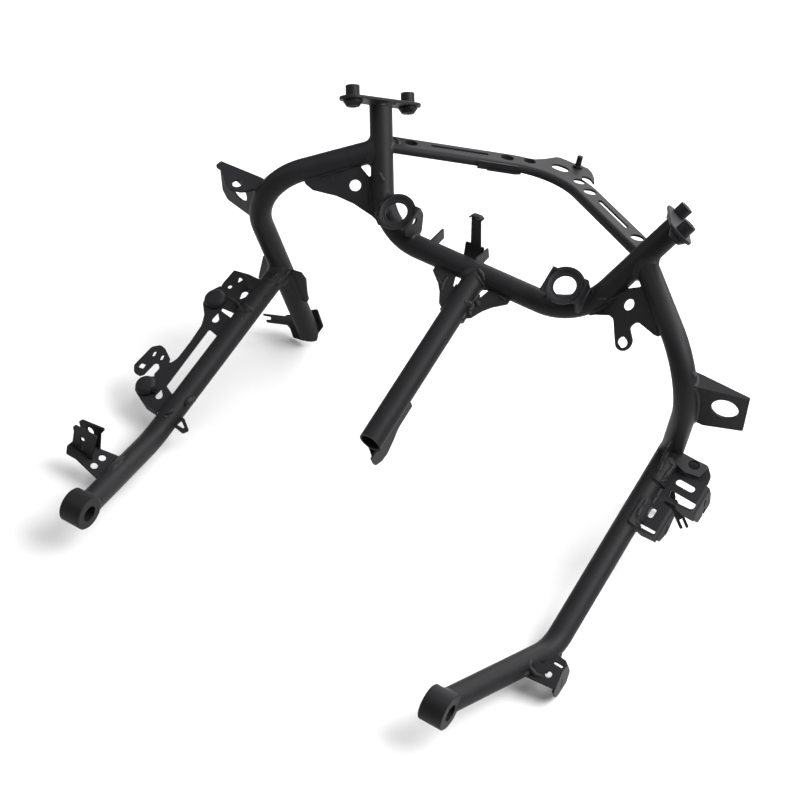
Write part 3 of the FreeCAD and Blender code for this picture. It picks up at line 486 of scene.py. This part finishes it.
# the bracket's lower edge runs round a drop-shaped notch
DROP = [(16.6 + 4.25 * math.cos(0.29 * k), 201.5 + 4.25 * math.sin(0.29 * k)) for k in range(-1, 14)]
finer("left_upper_bracket_fine", [
    plate(ARM, [(9, 226.5), (27.7, 226.7, 4), (47.2, 223.4, 2), (48.6, 203, 2), (48.2, 198.2), (40, 195.0),
                (19.1, 195.0), *DROP, (16.0, 195.0), (9, 195.0)],
          [circle(38.4, 202.0, 5.2, 24), [(36.8, 219, 1), (29.8, 217.5, 1), (33, 210, 1)]]),
], sheet_paint, "left_upper_bracket", mirror=True)
finer("left_loop_fine", [
    plate(ARM, [(-8, 32.5), (-8, 24), (-13, 18.5, 2), (-26, 16, 3), (-30.5, 22.5, 2.5), (-17.1, 32.5, 2)],
          [[(-13.6, 22.0, 1), (-26.2, 21.6, 1), (-15.2, 28.8, 1)]]),
], sheet_paint, "left_loop_bracket", mirror=True)


SKIN = 0.12 * MM        # a patch of painted hole shade stands this far over its wall, and a weld reaches this far into it
HOLE_SHADE_STEPS = 28


def painted_hole_shade(name, wall, centre, bore):
    """Dark patch of painted shade shaped like the mouth of a hole of this bore, laid on the surface of a
    tube; no hole is cut.
    """
    mesh = merged(wall)
    tree = BVHTree.FromBMesh(mesh)
    mesh.free()
    centre = BUSH_LINE + Vector(centre) * MM
    out = tree.find_nearest(centre)[1]
    across = out.cross(Vector((0, 0, 1))).normalized()
    along = out.cross(across)
    shape = bmesh.new()
    rings = []
    for reach in (1.0, 0.7, 0.35, 0.02):
        ring = []
        for j in range(HOLE_SHADE_STEPS):
            t = 2 * math.pi * j / HOLE_SHADE_STEPS
            aim = centre + (across * math.cos(t) + along * math.sin(t)) * reach * bore / 2 * MM
            spot, way = tree.find_nearest(aim)[:2]
            ring.append(shape.verts.new(spot - BUSH_LINE + way * SKIN))
        rings.append(ring)
    for a, b in zip(rings, rings[1:]):
        for j in range(HOLE_SHADE_STEPS):
            k = (j + 1) % HOLE_SHADE_STEPS
            shape.faces.new((a[j], a[k], b[k], b[j])).smooth = True
    shape.faces.new(rings[-1])
    return finer(name, [shape], hole_shade_paint)


# near-black, fully rough paint: painted shade that stands in for the dark inside of a hole
hole_shade_paint = Paint("hole_shade_paint").surface(Base_Color=grey(0.002), Roughness=1.0)

# rear cross plate: deep rear side of its left half and the claw of its pad
CROSS_TURN = math.radians(36.4)
REAR_SIDE = CROSS @ axes((0, 0, 0), (-math.cos(CROSS_TURN), -math.sin(CROSS_TURN), 0), (0, 0, 1))
finer("cross_rear_side", [
    plate(REAR_SIDE, [(14, -1), (20, -13.5, 3), (186, -13.5, 1), (186, -1)], (), 15.4, 17.9),
], sheet_paint)
finer("cross_claw", [
    plate(CROSS, [(8, 31.0, 4), (8, 20), (27, 2), (31.8, 6.5, 3), (37.5, 4.4, 6), (43.8, -2.5),
                  (44.9, -1.5, 0.6), (37.7, 12.2, 8), (29.5, 23.3, 8), (21.2, 30.5, 5)], (), -T + 0.02, 0.04),
], sheet_paint, "cross_plate_hook")

# forks and the right plate at the feet
FORK = [(-10, 5, 1), (-10, -9, 2), (2, -5, 4), (31, -5, 2), (31, -1.6), (18, -1.6, 1), (18, 1.8, 1),
        (34, 1.8), (34, 5, 2)]
HOOK = [(-10, 5.5, 1), (-10, -9, 2), (2, -5.5, 4), (28, -5.5, 2), (31, -2.2, 1), (24.5, -1.8, 1),
        (24, 2.2, 1), (33, 2.6, 1), (35, 5, 1.5)]
TOE = [(12, 25, 3), (7.8, 26.6), (-0.6, 31.7, 3), (-15.2, 14.5, 3), (-9.3, -1.5, 2), (-0.4, -4.4, 3),
       (4.2, -13, 1), (19.3, -15.2, 2), (22, -3, 4), (21, 10, 4)]
finer("right_fork_fine", [plate(RIGHT_FORK, FORK)], sheet_paint, "right_fork_clip")
finer("left_fork_fine", [plate(LEFT_FORK, HOOK)], sheet_paint, "left_fork_clip", mirror=True)
finer("right_foot_fine", [plate(FOOT, TOE, [circle(0, 0, 21.6)], -T, 0)], sheet_paint, "right_foot_plate")


# weld seams

SEAM_REACH = 0.4 * MM   # an edge this near to a wall lies on it
SHARP = math.radians(28)        # least angle of an edge that carries a weld


def seam_lines(piece, wall):
    """Seams where sharp edges of one node lie on another."""
    wall_mesh = merged(wall)
    wall_tree = BVHTree.FromBMesh(wall_mesh)
    mesh = merged(piece)
    piece_tree = BVHTree.FromBMesh(mesh)
    out = {}
    for v in mesh.verts:
        spot, way = wall_tree.find_nearest(v.co, SEAM_REACH)[:2]
        if spot is not None:
            out[v.index] = way
    links = {}
    sides = {}
    for e in mesh.edges:
        if len(e.link_faces) != 2 or e.calc_face_angle(0) < SHARP:
            continue
        a, b = e.verts
        if a.index in out and b.index in out:
            links.setdefault(a.index, []).append(b.index)
            links.setdefault(b.index, []).append(a.index)
            seen = max(e.link_faces, key=lambda f: f.normal.dot(out[a.index] + out[b.index])).normal
            for k in (a.index, b.index):
                sides[k] = sides.get(k, Vector()) + seen
    places = {v.index: v.co.copy() for v in mesh.verts}
    wall_mesh.free()
    mesh.free()
    # follow the edges from free ends and forks first, then round closed runs
    lines = []
    used = set()
    starts = sorted(links, key=lambda k: (len(links[k]) == 2, k))
    for start in starts:
        for step in links[start]:
            if (start, step) in used:
                continue
            line = [start]
            here, there = start, step
            while True:
                used.add((here, there))
                used.add((there, here))
                line.append(there)
                onward = [k for k in links[there] if (there, k) not in used]
                if not onward or len(links[there]) != 2:
                    break
                here, there = there, onward[0]
            lines.append([(places[k], out[k], sides[k]) for k in line])
    return [Seam(line, wall_tree, piece_tree) for line in lines]


class Seam:
    """A line between two surfaces: points with the outward ways of wall and piece."""

    def __init__(self, line, wall_tree, piece_tree):
        self.points = [p for p, wall_out, side_out in line]
        self.line = line
        self.wall_tree = wall_tree
        self.piece_tree = piece_tree
        self.length = sum((b - a).length for a, b in zip(self.points, self.points[1:]))
        self.closed = (self.points[0] - self.points[-1]).length < SAME_SPOT

    def rails(self, wide, high):
        """Points on the wall and on the piece at these distances from the line."""
        result = []
        last = len(self.line) - 1
        for i, (p, wall_out, side_out) in enumerate(self.line):
            if self.closed and i in (0, last):
                run = self.points[1] - self.points[last - 1]
            else:
                run = self.points[min(i + 1, last)] - self.points[max(i - 1, 0)]
            run = run.normalized()
            side_out = side_out.normalized()
            on_wall = run.cross(wall_out).normalized()
            if on_wall.dot(side_out) < 0:
                on_wall = -on_wall
            on_piece = run.cross(side_out).normalized()
            if on_piece.dot(wall_out) < 0:
                on_piece = -on_piece
            foot, foot_out = self.wall_tree.find_nearest(p + on_wall * wide)[:2]
            top, top_out = self.piece_tree.find_nearest(p + on_piece * high)[:2]
            result.append((foot - foot_out * SKIN, top - top_out * SKIN))
        return result


class Nodes:
    """A geometry node tree with short ways to add and join nodes."""

    def __init__(self, name, values):
        self.tree = bpy.data.node_groups.new(name, "GeometryNodeTree")
        face = self.tree.interface
        face.new_socket("Geometry", in_out="INPUT", socket_type="NodeSocketGeometry")
        for label, value in values.items():
            face.new_socket(label, in_out="INPUT", socket_type="NodeSocketFloat").default_value = value
        face.new_socket("Finish", in_out="INPUT", socket_type="NodeSocketMaterial")
        face.new_socket("Geometry", in_out="OUTPUT", socket_type="NodeSocketGeometry")
        self.enter = self.tree.nodes.new("NodeGroupInput")
        self.values = {label: S(self.tree, self.enter.outputs[label]) for label in values}

    def add(self, kind, settings=None, output=0, **inputs):
        return add_node(self.tree, kind, output, settings or {}, inputs)

    def vector(self, operation, a, b=None, scale=None, output=0):
        node = self.tree.nodes.new("ShaderNodeVectorMath")
        node.operation = operation
        plug(self.tree, node.inputs[0], a)
        if b is not None:
            plug(self.tree, node.inputs[1], b)
        if scale is not None:
            plug(self.tree, node.inputs["Scale"], scale)
        return S(self.tree, node.outputs[output])

    def store(self, geometry, name, kind, value):
        """The geometry with a value kept at each of its points."""
        return self.add("GeometryNodeStoreNamedAttribute", {"data_type": kind, "domain": "POINT"},
                        Geometry=geometry, Name=name, Value=value)

    def read(self, name, kind):
        return self.add("GeometryNodeInputNamedAttribute", {"data_type": kind}, Name=name)

    def close(self, geometry):
        """The finished tree, with this geometry as its result."""
        smooth = self.add("GeometryNodeSetShadeSmooth", Geometry=geometry)
        real = self.add("GeometryNodeRealizeInstances", Geometry=smooth)
        finish = S(self.tree, self.enter.outputs["Finish"])
        painted = self.add("GeometryNodeSetMaterial", Geometry=real, Material=finish)
        leave = self.tree.nodes.new("NodeGroupOutput")
        self.tree.links.new(painted.socket, leave.inputs["Geometry"])
        return self.tree


def bead_tree():
    """Edges become curves, then round rippled beads."""
    n = Nodes("weld_bead", {"Step": 0.7 * MM, "Ripple": 0.05, "Pitch": 3.4 * MM})
    curve = n.add("GeometryNodeMeshToCurve", Mesh=S(n.tree, n.enter.outputs["Geometry"]))
    curve = n.add("GeometryNodeResampleCurve", {"mode": "LENGTH"}, Curve=curve, Length=n.values["Step"])
    run = n.add("GeometryNodeSplineParameter", output=1)
    share = n.add("GeometryNodeSplineParameter", output=0)
    wave = (run / n.values["Pitch"] * (2 * math.pi)).maths("SINE") * n.values["Ripple"]
    wander = n.add("ShaderNodeTexNoise", Scale=120.0) * 0.9 + 0.5
    ends = (share * (1.0 - share) * 5.0 + 0.25).clamp() ** 0.5
    ring = n.add("GeometryNodeCurvePrimitiveCircle", Resolution=10, Radius=1.0)
    thick = n.vector("LENGTH", n.read("thick", "FLOAT_VECTOR"), output=1) / math.sqrt(3)
    tube = n.add("GeometryNodeCurveToMesh", Curve=curve, Profile_Curve=ring, Fill_Caps=True,
                 Scale=(wave + wander) * ends * thick * MM)
    return n.close(tube)


BAND_POINTS = 9


def fillet_tree():
    """Edges become curves, then a hollow rippled band from the wall to the piece."""
    n = Nodes("weld_fillet", {"Step": 0.9 * MM, "Ripple": 0.12 * MM, "Pitch": 2.4 * MM, "Hollow": 0.8})
    curve = n.add("GeometryNodeMeshToCurve", Mesh=S(n.tree, n.enter.outputs["Geometry"]))
    curve = n.add("GeometryNodeResampleCurve", {"mode": "LENGTH"}, Curve=curve, Length=n.values["Step"])
    curve = n.store(curve, "seam", "FLOAT_VECTOR", n.add("GeometryNodeInputPosition"))
    curve = n.store(curve, "run", "FLOAT", n.add("GeometryNodeSplineParameter", output=1))
    # the band's section: points from the wall (0) to the piece (1), and one more back in the seam
    ladder = n.add("GeometryNodeMeshLine", {"mode": "OFFSET"}, Count=BAND_POINTS, Offset=(0.0, 0.0, MM))
    profile = n.add("GeometryNodeMeshToCurve", Mesh=ladder)
    profile = n.add("GeometryNodeSetSplineCyclic", Geometry=profile, Cyclic=True)
    profile = n.store(profile, "across", "FLOAT", n.add("GeometryNodeInputIndex") / (BAND_POINTS - 2.0))
    band = n.add("GeometryNodeCurveToMesh", Curve=curve, Profile_Curve=profile, Fill_Caps=True)
    seam = n.read("seam", "FLOAT_VECTOR")
    foot = n.read("on_wall", "FLOAT_VECTOR")
    top = n.read("on_piece", "FLOAT_VECTOR")
    across = n.read("across", "FLOAT")
    run = n.read("run", "FLOAT")
    v = across.maths("MINIMUM", 1.0)
    near = 1.0 - v
    to_foot = n.vector("SUBTRACT", foot, seam)
    to_top = n.vector("SUBTRACT", top, seam)
    to_both = n.vector("ADD", to_foot, to_top)
    low = n.vector("SCALE", to_foot, scale=near * near)
    tall = n.vector("SCALE", to_top, scale=v * v)
    middle = n.vector("SCALE", to_both, scale=v * near * (1.0 - n.values["Hollow"]) * 2.0)
    belly = n.vector("ADD", n.vector("ADD", low, tall), middle)
    way = n.vector("NORMALIZE", to_both)
    wave = (run / n.values["Pitch"] * (2 * math.pi)).maths("SINE") * 0.5
    lumps = n.add("ShaderNodeTexNoise", Scale=210.0) - 0.5
    rise = (wave + lumps * 2.0) * n.values["Ripple"] * v * near * 4.0
    belly = n.vector("ADD", belly, n.vector("SCALE", way, scale=rise))
    shown = across.maths("LESS_THAN", 1.01)
    place = n.vector("ADD", seam, n.vector("SCALE", belly, scale=shown))
    band = n.add("GeometryNodeSetPosition", Geometry=band, Position=place)
    return n.close(band)


BEAD = bead_tree()
FILLET = fillet_tree()


def grown(name, tree, points, edges, vectors, **wanted):
    """A plain mesh that a node tree makes from points, edges and a vector at each point."""
    mesh = bpy.data.meshes.new(name + "_lines")
    mesh.from_pydata([tuple(p) for p in points], edges, [])
    for label, values in vectors.items():
        layer = mesh.attributes.new(label, "FLOAT_VECTOR", "POINT")
        layer.data.foreach_set("vector", [c for v in values for c in v])
    source = shown(name + "_source", mesh)
    modifier = source.modifiers.new("grow", "NODES")
    modifier.node_group = tree
    wanted["Finish"] = weld_paint
    for item in tree.interface.items_tree:
        if item.in_out == "INPUT" and item.name in wanted:
            modifier[item.identifier] = wanted[item.name]
    bpy.context.view_layer.update()
    graph = bpy.context.evaluated_depsgraph_get()
    made = bpy.data.meshes.new_from_object(source.evaluated_get(graph), depsgraph=graph)
    made.name = name
    bpy.data.objects.remove(source)
    bpy.data.meshes.remove(mesh)
    shape = bmesh.new()
    shape.from_mesh(made)
    bmesh.ops.recalc_face_normals(shape, faces=shape.faces)
    shape.to_mesh(made)
    shape.free()
    for label in ("seam", "run", "across", "on_wall", "on_piece", "thick"):
        if label in made.attributes:
            made.attributes.remove(made.attributes[label])
    piece = shown(name, made)
    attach(piece, "root")
    return piece


def fillets(name, seams, wide, high, **wanted):
    """One piece with a hollow weld along each seam."""
    points, edges, feet, tops = [], [], [], []
    for seam in seams:
        first = len(points)
        rails = seam.rails(wide * MM, high * MM)
        count = len(seam.points) - 1 if seam.closed else len(seam.points)
        points += seam.points[:count]
        feet += [r[0] for r in rails[:count]]
        tops += [r[1] for r in rails[:count]]
        edges += [(first + i, first + i + 1) for i in range(count - 1)]
        if seam.closed:
            edges.append((first + count - 1, first))
    return grown(name, FILLET, points, edges, {"on_wall": feet, "on_piece": tops}, **wanted)


SHORTEST_SEAM = 2 * MM
OUTER_SHARE = 0.8       # seams of at least this share of the longest run round the outside


def welds(name, joints, wide, high, outer=False, ripple=None, pitch=None):
    """One piece with a weld at each joint, wide on the wall and high on the piece, in mm."""
    seams = []
    for piece, wall in joints:
        found = seam_lines(piece, wall)
        least = OUTER_SHARE * max((s.length for s in found), default=0) if outer else SHORTEST_SEAM
        seams += [s for s in found if s.length >= least]
    wanted = {"Ripple": ripple, "Pitch": pitch}
    wanted = {label: value * MM for label, value in wanted.items() if value is not None}
    return fillets(name, seams, wide, high, **wanted)


def both(a, b):
    """The same joint on the right and on the left side."""
    return [("right_" + a, "right_" + b), ("left_" + a, "left_" + b)]


def onto(wall, *pieces):
    """Joints of several pieces on one wall."""
    return [(piece, wall) for piece in pieces]


welds("tube_welds", onto("main_hoop", "right_arch_tube", "left_arch_tube") + both("arm_tube", "arch_tube"),
      5.5, 5.5, outer=True, ripple=0.25, pitch=3.2)
welds("bush_welds", both("arm_tube", "arm_bush"), 4.0, 4.5, outer=True, ripple=0.3, pitch=3.0)
welds("strut_weld", onto("main_hoop", "centre_strut_tube"), 4.0, 4.0, outer=True, ripple=0.3)
welds("gusset_welds", both("gusset", "arch_tube") + onto("main_hoop", "right_gusset", "left_gusset"),
      2.0, 2.0, ripple=0.15)
welds("hoop_sheet_welds",
      onto("main_hoop", "right_ring_bracket", "left_ring_bracket", "rear_cross_plate",
           "centre_strut_saddle", "harness_bracket")
      + onto("centre_strut_tube", "centre_strut_saddle", "centre_strut_hook"), 2.2, 2.0, ripple=0.25)
welds("wing_welds", both("wing_bracket", "arch_tube"), 2.6, 2.4, ripple=0.3)
welds("post_welds", [("main_hoop", "right_post_plate"), ("main_hoop", "left_post_plate")],
      3.0, 3.0, outer=True)
welds("left_arm_welds",
      onto("left_arm_tube", "left_upper_bracket", "left_rail_bracket", "left_clamp_bracket"),
      2.6, 2.2, ripple=0.3)
welds("right_arm_welds",
      onto("right_arm_tube", "right_tab_plate", "right_slotted_bracket", "right_lower_bracket",
           "right_box_bracket"), 2.6, 2.2, ripple=0.3)
welds("leg_welds",
      onto("left_arch_tube", "left_rear_bracket", "left_arch_web", "left_foot_plate")
      + [("right_foot_plate", "right_arch_tube")], 2.4, 2.2, ripple=0.25)


# lumps and ridges of weld metal: radius and run of each
LUMPS = (
    (2.8, (1.4, 388.5, 197.3), (9.7, 385.9, 194.9), (14.0, 383.5, 189.7)),
    (2.8, (10.7, 381.5, 185.1), (16.1, 386.8, 179.1)),
    (3.6, (9.1, 359.5, 175.2), (14.9, 362.6, 168.9), (14.6, 356.6, 165.5), (18.6, 352.5, 163.2)),
    (3.2, (14.6, 369.4, 173.0), (21.8, 364.2, 170.1)),
    (2.0, (125.5, 408.2, 219.6), (131.1, 401.9, 219.7)),
    (1.5, (136.6, 399.0, 215.9), (144.5, 403.0, 218.3), (148.7, 407.5, 214.2)),
    (2.0, (208.9, 389.9, 222.8), (213.9, 383.9, 218.5)),
    (2.4, (-146.0, 402.8, 205.5), (-142.3, 401.7, 202.4)),
    (2.8, (-259.7, 371.6, 74.5), (-250.8, 370.0, 74.2), (-248.4, 383.7, 79.5)),
    (3.0, (-262.7, 327.3, 51.8), (-254.0, 326.0, 54.1), (-249.7, 331.1, 55.0)),
    (2.5, (-259.1, 185.2, -12.4), (-252.0, 184.5, -13.6)),
    (2.4, (-236.2, 79.1, -5.3), (-240.4, 92.5, -8.1)),
    (1.0, (-205.1, 391.0, 222.7), (-203.4, 392.2, 223.2)),
    (1.0, (-196.0, 396.9, 224.8), (-194.2, 398.1, 225.2)),
    (1.0, (-187.1, 403.1, 227.4), (-185.3, 404.4, 227.9)),
    (2.4, (266.1, 365.9, 205.6), (269.0, 364.7, 200.2)),
    (2.2, (-38.2, 374.2, 176.2), (-29.8, 369.4, 173.4)),
    (2.4, (270.3, 126.2, -27.2), (266.5, 140.2, -30.0)),
    (2.6, (261.9, 373.6, 108.3), (257.1, 381.9, 87.7), (257.6, 370.2, 77.8), (260.5, 352.8, 69.0)),
    (4.0, (247.3, 385.9, 79.1), (251.1, 380.9, 79.0)),
    (4.2, (262.3, 375.4, 78.3), (267.8, 377.0, 73.9), (267.3, 367.6, 70.2), (265.8, 357.9, 67.4)),
    (3.0, (268.5, 390.1, 74.4), (272.7, 384.8, 72.0)),
    (2.2, (265.0, 352.9, 67.1), (269.3, 361.8, 65.5)),
    (3.0, (264.1, 331.2, 56.8), (263.4, 318.5, 51.3), (264.2, 307.5, 45.6)),
    (2.2, (265.2, 306.1, 44.5), (269.4, 308.4, 39.9)),
    (2.4, (-245.4, 374.1, 72.1), (-243.7, 385.1, 74.2), (-241.7, 397.6, 79.0)),
    (3.2, (-260.3, 335.2, 57.0), (-252.4, 331.3, 56.2), (-246.1, 333.6, 52.8)),
    (2.6, (-288.4, 341.7, 49.0), (-275.9, 340.5, 48.4), (-257.5, 327.1, 54.6)),
    (2.2, (-259.2, 318.4, 50.1), (-249.2, 317.6, 48.6)),
    (2.4, (-258.1, 185.6, -12.0), (-252.7, 188.9, -8.2), (-250.5, 194.8, -6.3)),
    (4.8, (-246.2, 208.5, -6.6), (-245.2, 216.0, -4.8), (-245.4, 225.0, -6.6)),
    (2.6, (-234.7, 69.0, -3.3), (-239.4, 84.8, -6.7), (-244.3, 100.9, -10.3)),
    (2.6, (252.4, 123.4, -16.0), (255.8, 116.1, -19.7), (264.3, 115.8, -25.1), (273.3, 118.3, -25.6)),
    (3.2, (267.2, 154.4, -33.2), (267.2, 162.8, -31.0)),
    (2.6, (-0.1, 384.2, 194.9), (8.5, 382.5, 189.8), (17.2, 383.9, 183.6)),
    (3.0, (6.3, 356.3, 176.7), (13.1, 360.5, 168.0)),
    (2.2, (-159.6, 464.4, 260.4), (-149.0, 453.8, 262.3), (-144.1, 444.5, 260.5)),
    (2.4, (-148.3, 416.3, 243.4), (-139.4, 413.4, 235.6)),
    (2.0, (144.3, 402.8, 213.5), (154.8, 412.5, 221.2), (168.0, 418.3, 234.5)),
    (1.6, (-208.2, 390.9, 225.6), (-199.0, 398.4, 229.9), (-189.8, 405.9, 234.1), (-181.4, 412.5, 238.5)),
    (2.4, (-187.0, 452.4, 299.0), (-177.4, 452.7, 300.1), (-172.2, 459.7, 300.4), (-171.0, 476.0, 295.1)),
    (2.2, (-28.0, 379.7, 179.3), (-27.8, 370.3, 173.9), (-24.7, 362.1, 169.2)),
    (2.2, (33.4, 381.9, 180.5), (43.6, 381.5, 180.3)),
)


def beads(name, lumps):
    """One piece with a round weld along each run."""
    points, edges, sizes = [], [], []
    for radius, *run in lumps:
        first = len(points)
        points += [BUSH_LINE + Vector(p) * MM for p in run]
        sizes += [(radius, radius, radius)] * len(run)
        edges += [(first + i, first + i + 1) for i in range(len(run) - 1)]
    return grown(name, BEAD, points, edges, {"thick": sizes})


beads("weld_lumps", LUMPS)
# the hole in the left arm is not cut: a patch of painted shade lies on the tube in its place
painted_hole_shade("left_arm_hole_shade", "left_arm_tube", (-243.9, 354.5, 61.5), 8.0)


# floor, light and camera

FLOOR_HALF = 6.0
LIGHTS_AIM = Vector((0, 0, 0.1))
AMBIENT = 0.23


def floor():
    mesh = bpy.data.meshes.new("floor")
    s = FLOOR_HALF
    mesh.from_pydata([(-s, -s, 0), (s, -s, 0), (s, s, 0), (-s, s, 0)], [], [(0, 1, 2, 3)])
    mesh.materials.append(Paint("floor_white").surface(Base_Color=grey(0.64), Roughness=1.0))
    piece = shown("floor", mesh)


def softbox(name, place, size, power):
    """Rectangular light, in metres and watts."""
    data = bpy.data.lights.new(name, "AREA")
    data.shape = "RECTANGLE"
    data.size, data.size_y = size
    data.energy = power
    lamp = shown(name, data)
    lamp.location = place
    lamp.rotation_euler = (Vector(place) - LIGHTS_AIM).to_track_quat("Z", "Y").to_euler()


def camera():
    """The photograph's view."""
    right = Vector((0.837144, 0.537653, 0.100594))
    up = Vector((-0.404456, 0.484642, 0.775589))
    back = Vector((0.368245, -0.689965, 0.623172))
    turn = Matrix((right, up, back)).transposed().to_4x4()
    place = Vector((0.697023, -1.051530, 1.279831)) + BUSH_LINE
    data = bpy.data.cameras.new("camera")
    data.sensor_width = 36.0
    data.lens = 81.0
    data.clip_end = 50.0
    eye = shown("camera", data)
    eye.matrix_world = Matrix.Translation(place) @ turn
    bpy.context.scene.camera = eye


def studio():
    """White light from all round."""
    world = bpy.data.worlds.new("studio")
    world.use_nodes = True
    background = world.node_tree.nodes["Background"]
    background.inputs["Color"].default_value = (1, 1, 1, 1)
    background.inputs["Strength"].default_value = AMBIENT
    bpy.context.scene.world = world


floor()
softbox("key_right", (1.9, 0.7, 2.3), (2.2, 2.2), 145)
softbox("rear", (0.0, 2.6, 1.5), (2.4, 1.2), 75)
softbox("fill_left", (-2.0, -1.0, 1.9), (1.6, 1.6), 18)
softbox("overhead", (0.5, 0.4, 2.6), (3.0, 3.0), 60)
studio()
bpy.context.scene.view_settings.view_transform = "Standard"
camera()
